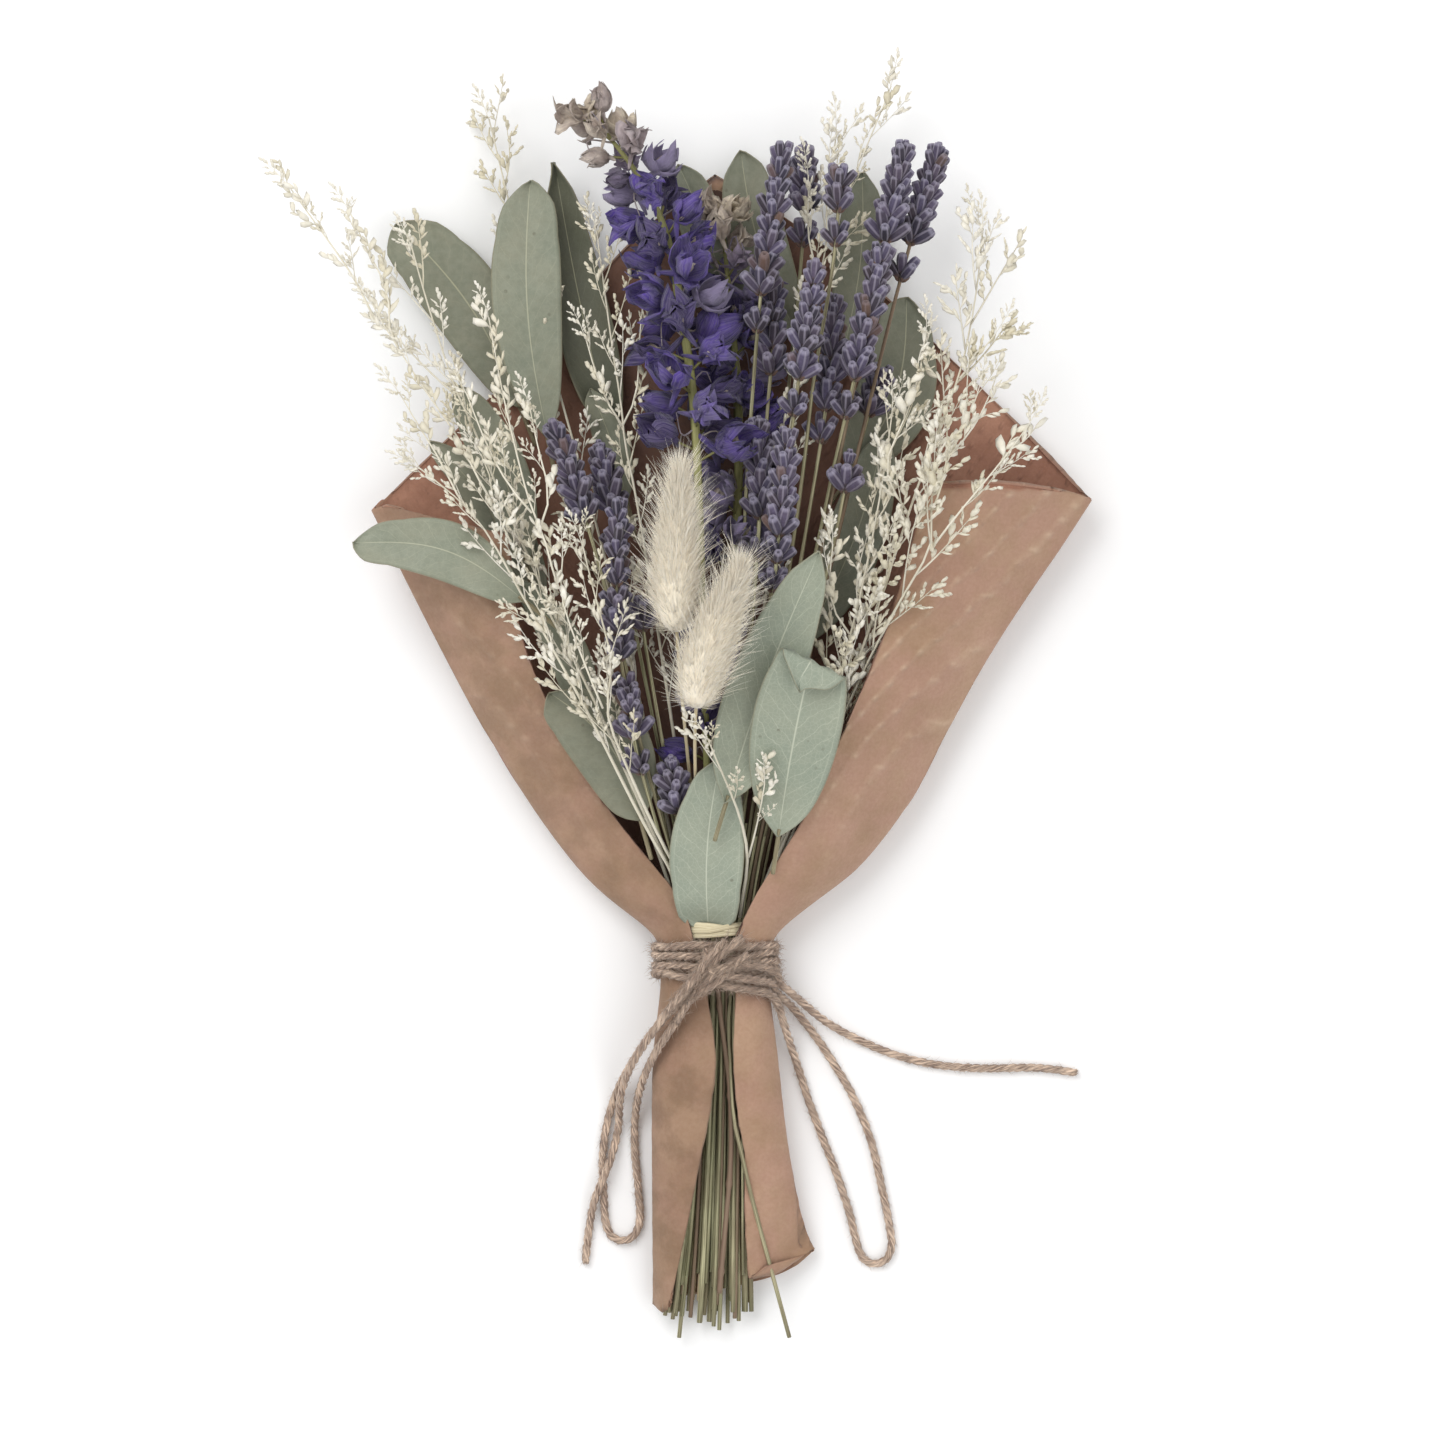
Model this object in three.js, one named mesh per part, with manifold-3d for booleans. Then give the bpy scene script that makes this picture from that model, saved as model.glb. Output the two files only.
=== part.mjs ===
// A bunch of dried lavender with larkspur, bleached statice, bunny tail grass and eucalyptus leaves,
// rolled in one sheet of kraft paper, tied with jute twine and lying on its back on a table.
// Millimetres, +Z up. While it is being made, x runs across the bunch and y up the bunch from the tie;
// at the end the whole group is moved so that its origin is under the middle of its box.
import * as THREE from "three";
import { mergeVertices } from "three/addons/utils/BufferGeometryUtils.js";
import Module from "manifold-3d";

const wasm = await Module();
wasm.setup();

// ---------- driving dimensions ----------
const TWINE = 2.1; // twine diameter
const PAPER = 0.8; // thickness of the embossed paper, crest to crest
const GAP = 0.32; // clearance kept between neighbouring pieces
const NECK = { a: 14.4, b: 8.6 }; // half width and half height of the paper tube at the tie
const NECK_Z = TWINE + 0.4 + PAPER / 2 + NECK.b; // height of the middle of the tie above the table
const FOOT_Y = -104; // where the stems are cut
const FAN_Y = 80; // the bunch reaches its full depth this far above the tie
const FAN = { z: 28, half: 19 }; // mid height and half depth of the pile of flowers there
const PACK = { a: 11.3, b: 6.0 }; // half width and half height of the packed stems inside the tie
const LEAF_BED = 9; // the leaves behind the flowers lie below this height
const STEP = 5; // distance between the stations at which the stalks are settled
const STATION_LOW = FOOT_Y - 6;
const STATIONS = 70;

const COLOURS = {
  paper: 0xb08a70, twine: 0x97826c, raffia: 0xd9c9a0, leaf: 0x7f8a78, lavender: 0x4a4766,
  larkspur: 0x3f2f86, statice: 0xe2dccb, grass: 0xefe6d6,
};

// ---------- small helpers ----------
const clamp = (v, low, high) => Math.min(high, Math.max(low, v));
const mix = (a, b, t) => a + (b - a) * t;
const smooth = (t) => t * t * (3 - 2 * t);

// Height of the middle of the pile and its half depth at a distance y above the tie.
function pile(y) {
  const t = smooth(clamp(y / FAN_Y, 0, 1));
  return { z: mix(NECK_Z, FAN.z, t), half: mix(PACK.b, FAN.half, t) };
}

// The value at y of a list of [y, value] knots with rising y.
function along(knots, y) {
  if (y <= knots[0][0]) return knots[0][1];
  for (let i = 1; i < knots.length; i++)
    if (y <= knots[i][0])
      return mix(knots[i - 1][1], knots[i][1], (y - knots[i - 1][0]) / (knots[i][0] - knots[i - 1][0]));
  return knots[knots.length - 1][1];
}

function solidOf(geometry) {
  const g = geometry.clone();
  g.deleteAttribute("normal");
  g.deleteAttribute("uv");
  const merged = mergeVertices(g, 1e-3);
  return new wasm.Manifold(new wasm.Mesh({
    numProp: 3,
    vertProperties: merged.attributes.position.array,
    triVerts: new Uint32Array(merged.index.array),
  }));
}

function geometryOf(solid) {
  const mesh = solid.getMesh();
  const points = new Float32Array(mesh.numVert * 3);
  for (let i = 0; i < mesh.numVert; i++)
    points.set(mesh.vertProperties.subarray(i * mesh.numProp, i * mesh.numProp + 3), i * 3);
  return new THREE.BufferGeometry()
    .setAttribute("position", new THREE.BufferAttribute(points, 3))
    .setIndex(new THREE.BufferAttribute(mesh.triVerts, 1));
}

const joined = (geometries) => geometryOf(geometries.map(solidOf).reduce((a, b) => a.add(b)));

const bunch = new THREE.Group();
function addPiece(name, geometry, colour, roughness = 0.85) {
  const material = new THREE.MeshStandardMaterial({ color: colour, roughness, metalness: 0 });
  const mesh = new THREE.Mesh(geometry, material);
  mesh.name = name;
  bunch.add(mesh);
  return mesh;
}

// A closed body of revolution carried along a line: rings is a list of {at: Vector3, r}.
function stalk(rings, sides) {
  const last = rings.length - 1;
  const profile = [new THREE.Vector2(0, 0)];
  rings.forEach((ring, i) => profile.push(new THREE.Vector2(ring.r, i)));
  profile.push(new THREE.Vector2(0, last));
  const geometry = new THREE.LatheGeometry(profile, sides);
  const up = new THREE.Vector3(0, 0, 1);
  const frames = rings.map((ring, i) => {
    const way = rings[Math.min(i + 1, last)].at.clone().sub(rings[Math.max(i - 1, 0)].at).normalize();
    const side = way.clone().cross(up).normalize();
    return { side, top: side.clone().cross(way) };
  });
  const p = geometry.attributes.position;
  for (let n = 0; n < p.count; n++) {
    const i = Math.round(p.getY(n));
    const { side, top } = frames[i];
    const at = rings[i].at.clone().addScaledVector(side, p.getX(n)).addScaledVector(top, p.getZ(n));
    p.setXYZ(n, at.x, at.y, at.z);
  }
  return geometry;
}

// A thin closed sheet: place(u, v) gives the middle surface for u and v from 0 to 1.
function sheet(acrossSteps, alongSteps, thickness, place) {
  const geometry = new THREE.BoxGeometry(1, 1, 1, acrossSteps, alongSteps, 1);
  const p = geometry.attributes.position;
  const e = 1e-3;
  for (let n = 0; n < p.count; n++) {
    const [u, v, side] = [p.getX(n) + 0.5, p.getY(n) + 0.5, Math.sign(p.getZ(n))];
    const du = place(Math.min(u + e, 1), v).sub(place(Math.max(u - e, 0), v));
    const dv = place(u, Math.min(v + e, 1)).sub(place(u, Math.max(v - e, 0)));
    const at = place(u, v).addScaledVector(du.cross(dv).normalize(), (side * thickness) / 2);
    p.setXYZ(n, at.x, at.y, at.z);
  }
  return geometry;
}

// ---------- the kraft paper ----------
// Rows run from the foot of the skirt to the rim; in each, nine or more points run across the sheet:
// left free edge, left flap, left fold (two points), back left, middle, back right, right fold
// (two points), right flap, right free edge.
const REST = PAPER / 2; // height of the paper's middle surface where it lies on the table
const NECK_LOW = NECK_Z - NECK.b;
const NECK_ANGLES = [-158, -130, -97, -70, -35, 0, 35, 70, 97, 130, 157];
const neckRow = (y) => NECK_ANGLES.map((degrees) => {
  const t = (degrees * Math.PI) / 180;
  return [NECK.a * Math.sin(t), y, NECK_Z - NECK.b * Math.cos(t)];
});
const PAPER_ROWS = [
  [[-12, -97, 12], [-14, -98.5, 9.5], [-16, -97, 6.5], [-16, -96.5, 3.5], [-8, -95, REST], [2, -93, REST],
    [11, -91, REST], [20, -88, 1.5], [27, -82, 4.5], [22.5, -80, 9.5], [17.5, -79, 12]],
  [[-4.6, -55, 19], [-10, -55, 18.6], [-16.2, -55, 12], [-16, -55, 6.5], [-8, -55, REST], [0, -55, REST],
    [10, -55, REST], [18.6, -55, 6], [19.2, -55, 11], [14, -55, 16.6], [7.4, -55, 18]],
  [[-3, -26, 20.2], [-10, -26, 18.4], [-16, -26, 12], [-15.6, -26, 7.2], [-8, -26, 1.6], [0, -26, 0.8],
    [8, -26, 1.6], [15.6, -26, 7.2], [16, -26, 12], [11, -26, 18.4], [4.6, -26, 20.2]],
  neckRow(-12),
  neckRow(-4),
  neckRow(4),
  [[-10, 16, 21.5], [-19, 15, 19.6], [-29, 14, 12.5], [-28.4, 14, 7.6], [-15, 15, 1.2], [0, 16, REST],
    [15, 15, 1.2], [27, 14, 7.6], [28, 14, 13], [20, 15, 22.5], [11, 16, 24.5]],
  [[-31, 41, 22], [-40, 40, 19.5], [-49.5, 40, 13], [-49, 40, 8], [-28, 42, REST], [0, 44, REST],
    [28, 42, REST], [52.4, 38, 8.5], [53, 38, 14], [41, 42, 27], [27.5, 42, 34]],
  [[-50.5, 80, 30], [-60, 81, 25.5], [-71.5, 82, 16], [-71, 82, 10], [-40, 95, REST], [0, 112, REST],
    [42, 95, REST], [73, 82, 10], [73.5, 82, 16.5], [59, 83, 29], [45, 83, 35]],
  [[-55, 112, 33], [-73, 116, 27.5], [-88.6, 120.6, 17], [-89.6, 122, 11.5], [-46, 165, 2.4], [0, 211, REST],
    [62, 163, 3], [98.6, 125, 11.5], [97.8, 123.6, 17.5], [77, 126.4, 30], [56, 125.4, 36]],
];
const PAPER_ALONG = 18; // steps from the foot of the skirt to the rim
const PAPER_V = [0, 2, 4, 5, 6, 7, 8, 10, 13, PAPER_ALONG].map((step) => step / PAPER_ALONG);
const FLAT_BACK = 1.2; // the back settles flat on the table where it comes this close to it

// Catmull-Rom through four values.
function spline(a, b, c, d, t) {
  return b + 0.5 * t * (c - a + t * (2 * a - 5 * b + 4 * c - d + t * (3 * (b - c) + d - a)));
}

function paperAt(u, v) {
  const columns = PAPER_ROWS[0].length - 1;
  const i = Math.min(Math.floor(u * columns), columns - 1);
  let row = PAPER_V.length - 2;
  while (row > 0 && v < PAPER_V[row]) row--;
  const s = u * columns - i;
  const t = (v - PAPER_V[row]) / (PAPER_V[row + 1] - PAPER_V[row]);
  const at = [0, 1, 2].map((axis) => {
    const across = [-1, 0, 1, 2].map((k) => {
      const knots = PAPER_ROWS[clamp(row + k, 0, PAPER_ROWS.length - 1)];
      const value = (c) => knots[clamp(c, 0, columns)][axis];
      return spline(value(i - 1), value(i), value(i + 1), value(i + 2), s);
    });
    return spline(...across, t);
  });
  if (u > 0.28 && u < 0.72 && at[2] < FLAT_BACK && (at[1] > 20 || at[1] < -30)) at[2] = REST;
  return new THREE.Vector3(at[0], at[1], Math.max(at[2], REST));
}

const PAPER_ACROSS = 20;
const paper = sheet(PAPER_ACROSS, PAPER_ALONG, PAPER, paperAt);
{
  // Where the back lies on the table its underside is one true plane.
  const p = paper.attributes.position;
  for (let n = 0; n < p.count; n++) if (p.getZ(n) < 0.2) p.setZ(n, 0);
}
addPiece("kraft_paper_wrap", paper, COLOURS.paper);

// ---------- eucalyptus leaves ----------
// base and tip are [x, y, z]; width is the widest; bow lifts the middle, arch bends it sideways and
// cup lifts the two edges.
const LEAVES = {
  leaf_tall_left: { base: [-45.5, 139, 12], tip: [-50, 208, 17], width: 19, bow: 1.5, arch: -3, blunt: 0.62 },
  leaf_broad_left: { base: [-53, 147, 5.4], tip: [-86.5, 197, 8], width: 21, bow: 0.8, arch: 4, blunt: 0.62 },
  leaf_dark_rear: { base: [-28, 140, 3.4], tip: [-43.5, 213.5, 10], width: 15, bow: 1.2, arch: -9, blunt: 0.38 },
  leaf_rear_top: { base: [23, 166, 3], tip: [7, 217, 6], width: 16, bow: 0.8, arch: -3, blunt: 0.6 },
  leaf_rear_middle: { base: [5, 165, 5.6], tip: [-10, 213, 9], width: 14, bow: 0.6, arch: 2, blunt: 0.5 },
  leaf_rear_right: { base: [37, 129, 5.8], tip: [52, 177, 7], width: 21, bow: 0.8, arch: 5, blunt: 0.45 },
  leaf_right_inner: { base: [23, 82, 7.6], tip: [46, 140, 8.4], width: 16, bow: 0.6, arch: 3, blunt: 0.5 },
  leaf_rear_tip: { base: [35, 163, 6.4], tip: [40, 211, 8.4], width: 14, bow: 0.5, arch: 2, blunt: 0.5 },
  leaf_side_left: { base: [-51, 94, 34.5], tip: [-97, 109.5, 32], width: 16, bow: 1, arch: 6, blunt: 0.5 },
  leaf_left_upper: { base: [-51, 104, 12.4], tip: [-70, 153, 14.4], width: 14, bow: 0.4, arch: 3, blunt: 0.5 },
  leaf_left_lower: { base: [-46, 95, 6.6], tip: [-77.5, 138, 11.5], width: 11, bow: 0.4, arch: 3, blunt: 0.4 },
  leaf_left_edge: { base: [-34, 58, 21.5], tip: [-53, 100, 25], width: 11, bow: 0.6, arch: 4, blunt: 0.45 },
  leaf_left_front: { base: [-20, 35, 25.4], tip: [-44.5, 69.5, 31.5], width: 21, bow: 0.8, arch: 5, blunt: 0.5 },
  leaf_centre_rear: { base: [-24, 122, 8.2], tip: [-34, 152, 9], width: 9, bow: 0.3, arch: 1, blunt: 0.5 },
  leaf_right_front: { base: [3, 40, 34.6], tip: [28, 107, 47], width: 19, bow: 1, arch: -1.5, blunt: 0.4 },
  leaf_right_fold: { base: [17, 31, 32.6], tip: [27, 82, 50], width: 24, bow: 0.5, arch: -1, blunt: 0.55 },
  leaf_centre_front: { base: [-1.7, 4, 20.2], tip: [1.6, 52, 33], width: 20, bow: 1, arch: -2, blunt: 0.45 },
};
const LEAF_THICKNESS = 0.6;
const LEAF_ACROSS = 2;
const LEAF_ALONG = 8;

// Half width of a leaf, as a share of its widest, at a share v of its length: widest at blunt.
function outline(v, blunt) {
  const t = v < blunt ? v / blunt : (1 - v) / (1 - blunt);
  return Math.max(0.09, Math.sin((Math.PI / 2) * Math.pow(t, 0.65)));
}

function leafSurface({ base, tip, width, bow, arch, blunt }) {
  const from = new THREE.Vector3(...base);
  const way = new THREE.Vector3(...tip).sub(from);
  const side = way.clone().cross(new THREE.Vector3(0, 0, 1)).normalize();
  const up = side.clone().cross(way).normalize();
  return (u, v) => {
    const crown = Math.sin(Math.PI * v);
    const reach = (2 * u - 1) * (width / 2) * outline(v, blunt);
    return from.clone()
      .addScaledVector(way, v)
      .addScaledVector(side, reach + arch * crown)
      .addScaledVector(up, bow * crown + 0.035 * Math.abs(reach));
  };
}

const leafGeometries = Object.entries(LEAVES).map(([name, leaf]) => {
  const geometry = sheet(LEAF_ACROSS, LEAF_ALONG, LEAF_THICKNESS, leafSurface(leaf));
  addPiece(name, geometry, COLOURS.leaf, 0.7);
  return geometry;
});

// ---------- the stalks ----------
// Each stalk is a line from its cut foot through the tie to its tip. knots are [y, x] above the tie and
// layer is the place of its head in the depth of the pile, 0 at the back and 1 at the front; stem is the
// same for its bare stem, which comes up to the head over the last stretch below it.
const RISE = 22;
const stalks = [];
function addStalk({ name, knots, layer, radius, head = 0, stem = Math.min(layer, 0.5), foot = FOOT_Y, parent = null,
  from = null }) {
  const tip = knots[knots.length - 1];
  const base = knots[0];
  const tieX = clamp(base[1] * clamp(0.16 + 9 / Math.max(base[0], 20), 0, 1) * 0.62, -PACK.a + 1, PACK.a - 1);
  const path = parent ? [[from, 0], ...knots] : [[foot, tieX * 1.2], [0, tieX], ...knots];
  const low = parent ? from : foot;
  const line = [];
  for (let k = 0; k < STATIONS; k++) {
    const y = STATION_LOW + k * STEP;
    if (y < low - STEP || y > tip[0] + STEP) continue;
    const level = pile(y);
    const z = y < 0 ? mix(NECK_Z, 9.5, smooth(y / foot)) : level.z;
    const depth = mix(stem, layer, smooth(clamp((y - head + RISE) / RISE, 0, 1)));
    line[k] = { y, x: along(path, y), z: z + (depth - 0.5) * 2 * level.half, r: radius(y) };
    line[k].aim = { x: line[k].x, z: line[k].z };
  }
  const made = { name, line, parent, low, high: tip[0], radius, heavy: !parent && layer > 1.1 };
  stalks.push(made);
  return made;
}

// Lavender: tip and foot of the flower spike, both [x, y].
const STEM_R = 0.75;
const SPIKE_R = 4.6;
const WHORL = 9.5; // distance between whorls of buds along a spike
const LAVENDER = [
  [[19, 219], [11.5, 174], 0.62], [[16, 180], [15, 154], 0.42], [[24, 221], [25, 198], 0.2],
  [[33, 212], [34, 194], 0.75], [[52, 219], [44.5, 186], 0.6], [[62, 218], [51, 187], 0.42],
  [[46, 193], [37, 152], 0.78], [[28, 187], [22, 152], 0.92], [[32.5, 178], [30, 143], 0.5],
  [[46, 158], [39.5, 140], 0.3], [[20, 144], [16.5, 101], 1.0], [[11.5, 148], [12.5, 115], 0.62],
  [[37, 138], [34.5, 119], 0.68], [[-44.5, 144], [-33, 113], 0.66], [[-33, 141], [-27.5, 116], 0.36],
  [[-25.6, 124], [-27, 76], 0.86, 0.88], [[-20, 94.5], [-19.5, 83], 0.6], [[-23.6, 71], [-22.5, 54.5], 0.88, 0.7],
  [[-12, 54], [-10, 36], 0.8],
];

function spikeRadius(base, tip) {
  const long = tip - base;
  return (y) => {
    if (y < base || y > tip + STEP) return STEM_R;
    const taper = mix(0.85, 1, smooth(clamp((y - base) / 8, 0, 1))) * (1 - 0.45 * smooth(clamp((y - base - long * 0.6) / (long * 0.4), 0, 1)));
    return SPIKE_R * taper;
  };
}

LAVENDER.forEach(([tip, base, layer, stem], i) =>
  addStalk({
    name: "lavender_" + String(i + 1).padStart(2, "0"),
    knots: [[base[1], base[0]], [tip[1], tip[0]]],
    layer,
    stem,
    head: base[1],
    radius: spikeRadius(base[1], tip[1]),
    foot: FOOT_Y + ((i * 7) % 11),
  }));

// Larkspur: thick stalks with open flowers from the first knot to the last.
const LARKSPUR = {
  larkspur_tall: { knots: [[130, -4.5], [150, -5.5], [176, -9.5], [198, -12.5], [212, -20], [220, -30], [229, -38]],
    layer: 0.62, thick: 1.5, flower: 5.6 },
  larkspur_rear: { knots: [[96, 5], [138, 7], [162, 5.5], [190, 2.5], [206, 1]], layer: 0.2, thick: 1.2, flower: 5.4 },
  larkspur_low: { knots: [[42, -3], [70, -1], [97, 2.7]], layer: 0.42, thick: 1, flower: 4.2 },
};
for (const [name, { knots, layer, thick, flower }] of Object.entries(LARKSPUR)) {
  const [low, high] = [knots[0][0], knots[knots.length - 1][0]];
  const radius = (y) => (y < low ? thick : flower * (1 - 0.5 * smooth(clamp((y - low) / (high - low), 0, 1))));
  addStalk({ name, knots, layer, radius, head: low, foot: FOOT_Y + 2 });
}

// Bunny tail grass: soft egg-shaped heads on thin straws.
const TAIL_R = 6.6;
const BUNNY_TAILS = {
  bunny_tail_upper: { knots: [[86, -11], [131, -9]], layer: 1.22 },
  bunny_tail_lower: { knots: [[67, -8], [104, 8.5]], layer: 1.34 },
};
for (const [name, { knots, layer }] of Object.entries(BUNNY_TAILS)) {
  const [low, high] = [knots[0][0], knots[1][0]];
  const radius = (y) => {
    const t = (y - low) / (high - low);
    return t < 0 ? 0.6 : TAIL_R * Math.sqrt(Math.max(0.05, Math.sin(Math.PI * clamp(0.08 + t * 0.88, 0, 1))));
  };
  addStalk({ name, knots, layer, radius, head: low, foot: FOOT_Y + 8 });
}

// Bleached statice: a stem with feathery side shoots, each {y where it leaves, knots of its line}.
const STATICE = {
  statice_far_left: { layer: 0.8, stem: 0.86, knots: [[32, -17.5], [67, -31], [116, -58], [167, -85], [208, -117.5]],
    shoots: [[168, [[176, -94], [200, -100]]], [120, [[140, -76], [178, -97]]]] },
  statice_left: { layer: 0.55, knots: [[36, -18], [105, -50], [157, -73], [192, -83]],
    shoots: [[135, [[148, -72], [168, -90]]]] },
  statice_left_front: { layer: 1.0, stem: 1.05, knots: [[51, -24.5], [94, -42], [140, -55.5], [170, -61]],
    shoots: [[112, [[125, -48], [146, -50]]], [96, [[118, -58], [150, -68]]], [66, [[85, -30], [110, -36.5]]]] },
  statice_left_low: { layer: 0.92, stem: 1, knots: [[60, -31], [90, -48], [121, -66], [149, -85]],
    shoots: [[104, [[114, -66], [129, -80]]]] },
  statice_rear_left: { layer: 0.03, knots: [[112, -31], [167, -47], [203, -56], [229, -62.5]], shoots: [] },
  statice_centre: { layer: 0.5, stem: 0.36, knots: [[84, -15], [121, -21], [149, -26], [194, -32]],
    shoots: [[140, [[158, -24], [182, -18]]], [128, [[142, -32], [166, -36]]]] },
  statice_rear_right: { layer: 0.3, knots: [[100, 14], [148, 21], [186, 27.5], [216, 40], [236, 49]],
    shoots: [[182, [[196, 28], [210, 25]]], [192, [[205, 34], [225, 33.5]]]] },
  statice_right: { layer: 0.92, knots: [[72, 37], [111, 49.5], [140, 60], [165, 70.5], [197, 72]],
    shoots: [[118, [[140, 57], [166, 57]]], [150, [[158, 74], [168, 79]]]] },
  statice_right_low: { layer: 1.04, knots: [[84, 43], [108, 55], [124, 70], [141, 87]],
    shoots: [[110, [[126, 62], [150, 72]]]] },
  statice_right_inner: { layer: 0.82, knots: [[66, 33.5], [95, 39], [122, 45], [146, 48]],
    shoots: [[84, [[98, 33], [112, 32]]]] },
  statice_front: { layer: 1.27, stem: 0.62, knots: [[12, 13], [22, 17], [32, 16], [43, 6], [57, -3.5]],
    shoots: [[24, [[35, 14.5], [45, 14.5]]]] },
};
const STATICE_STEM_R = 0.6;
function plume(low, high, most) {
  return (y) => (y < low ? STATICE_STEM_R : mix(0.5, most, Math.sin(Math.PI * clamp((y - low) / (high - low), 0, 1) ** 0.8)));
}
for (const [name, { knots, layer, stem, shoots }] of Object.entries(STATICE)) {
  const high = knots[knots.length - 1][0];
  const plumeLow = mix(Math.max(knots[0][0], 20), high, 0.3);
  const radius = plume(plumeLow, high, 1.7);
  const main = addStalk({ name, knots, layer, stem, radius, head: plumeLow, foot: FOOT_Y + 5 });
  for (const [from, line] of shoots)
    addStalk({ name, knots: line, layer, radius: plume(from + 4, line[1][0], 1.5), parent: main, from });
}

// ---------- settling ----------
// What the stalks lie against: the cuts through the paper and the leaves at each station.
function cutsAt(y, geometries) {
  const cuts = [];
  for (const geometry of geometries) {
    const [p, index] = [geometry.attributes.position, geometry.index.array];
    for (let t = 0; t < index.length; t += 3) {
      const hits = [];
      for (let k = 0; k < 3; k++) {
        const [a, b] = [index[t + k], index[t + ((k + 1) % 3)]];
        const [ya, yb] = [p.getY(a) - y, p.getY(b) - y];
        if (ya < 0 === yb < 0) continue;
        const s = ya / (ya - yb);
        hits.push([mix(p.getX(a), p.getX(b), s), mix(p.getZ(a), p.getZ(b), s)]);
      }
      if (hits.length < 2) continue;
      const [a, b] = hits;
      const low = [Math.min(a[0], b[0]), Math.min(a[1], b[1])];
      const high = [Math.max(a[0], b[0]), Math.max(a[1], b[1])];
      cuts.push({ a, b, low, high });
    }
  }
  return cuts;
}
const walls = [paper, ...leafGeometries];
const cuts = Array.from({ length: STATIONS }, (_, k) => cutsAt(STATION_LOW + k * STEP, walls));

const ROUNDS = 1100;
const FIRM = 500; // in the last rounds nothing pulls the stalks back together

// Moves two stalks apart where they come closer than the clearance; the thicker one moves less.
function partPair(a, b) {
  const need = a.r + b.r + GAP;
  const [dx, dz] = [b.x - a.x, b.z - a.z];
  if (Math.abs(dx) >= need || Math.abs(dz) >= need) return;
  const d = Math.hypot(dx, dz) || 1e-3;
  if (d >= need) return;
  const share = b.r / (a.r + b.r);
  const push = (need - d) / d;
  a.x -= dx * push * share * 0.6;
  a.z -= dz * push * share;
  b.x += dx * push * (1 - share) * 0.6;
  b.z += dz * push * (1 - share);
}

// Moves a stalk off a leaf or the paper.
function clear(a, { a: p, b: q, low, high }) {
  const need = a.r + GAP;
  if (a.x < low[0] - need || a.x > high[0] + need || a.z < low[1] - need || a.z > high[1] + need) return;
  const [ex, ez] = [q[0] - p[0], q[1] - p[1]];
  const t = clamp(((a.x - p[0]) * ex + (a.z - p[1]) * ez) / (ex * ex + ez * ez || 1), 0, 1);
  const [dx, dz] = [a.x - p[0] - ex * t, a.z - p[1] - ez * t];
  const d = Math.hypot(dx, dz) || 1e-3;
  if (d >= need) return;
  a.x += (dx / d) * (need - d);
  a.z += (dz / d) * (need - d);
}

// Inside the tie the stems stay within the packed oval; everywhere they stay above the table.
function hold(a) {
  if (Math.abs(a.y) < 16) {
    const loose = Math.max(0, Math.abs(a.y) - 8);
    const out = Math.hypot(a.x / (PACK.a + 0.5 * loose), (a.z - NECK_Z) / (PACK.b + 0.3 * loose));
    if (out > 1) {
      a.x /= out;
      a.z = NECK_Z + (a.z - NECK_Z) / out;
    }
  }
  a.z = Math.max(a.z, a.r + 1.4);
}

// Draws every stalk back towards its own place and keeps its line even.
function ease(s, pull) {
  s.line.forEach((p, k) => {
    const [before, after] = [s.line[k - 1], s.line[k + 1]];
    p.x += (p.aim.x - p.x) * (p.r > 2 ? 0.06 : 0.02) * pull;
    p.z += (p.aim.z - p.z) * 0.015 * pull;
    if (!before || !after) return;
    p.x += ((before.x + after.x) / 2 - p.x) * 0.3 * pull;
    p.z += ((before.z + after.z) / 2 - p.z) * 0.3 * pull;
  });
  if (!s.parent) {
    const foot = s.line.findIndex((p) => p && p.y >= s.low);
    for (let k = foot - 1; s.line[k]; k--) [s.line[k].x, s.line[k].z] = [s.line[foot].x, s.line[foot].z];
    return;
  }
  s.line.forEach((p, k) => {
    const root = s.parent.line[k];
    if (root && p.y <= s.low) [p.x, p.z] = [root.x, root.z];
  });
}

function settle() {
  const crowd = cuts.map((_, k) => stalks.filter((s) => s.line[k]));
  for (let round = 0; round < ROUNDS; round++) {
    crowd.forEach((here, k) => {
      for (let i = 0; i < here.length; i++) {
        const a = here[i].line[k];
        for (let j = i + 1; j < here.length; j++)
          if (here[i].name !== here[j].name) partPair(a, here[j].line[k]);
        for (const cut of cuts[k]) clear(a, cut);
      }
      for (const s of here) hold(s.line[k]);
    });
    for (const s of stalks) ease(s, round < ROUNDS - FIRM ? 1 : 0.04);
  }
}
settle();

// The settled place of a stalk at any y.
function settledAt(line, y) {
  const t = (y - STATION_LOW) / STEP;
  const k = Math.floor(t);
  const a = line[k] || line[k + 1];
  const b = line[k + 1] || a;
  return new THREE.Vector3(mix(a.x, b.x, t - k), y, mix(a.z, b.z, t - k));
}

function ringsOf(s, marks) {
  return marks.map((y) => ({ at: settledAt(s.line, y), r: s.radius(y) }));
}

// Evenly spread marks from low to high, both included.
const spread = (low, high, step) => {
  const n = Math.max(1, Math.round((high - low) / step));
  return Array.from({ length: n + 1 }, (_, i) => mix(low, high, i / n));
};

// Marks along a bare stem, all at stations but the two ends.
const STEM_STEP = 10;
function stemMarks(low, high) {
  const marks = [low];
  for (let k = 0; k < STATIONS; k++) {
    const y = STATION_LOW + k * STEP;
    if (y % STEM_STEP === 0 && y > low + 4 && y < high - 4) marks.push(y);
  }
  marks.push(high);
  return marks;
}

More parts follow.
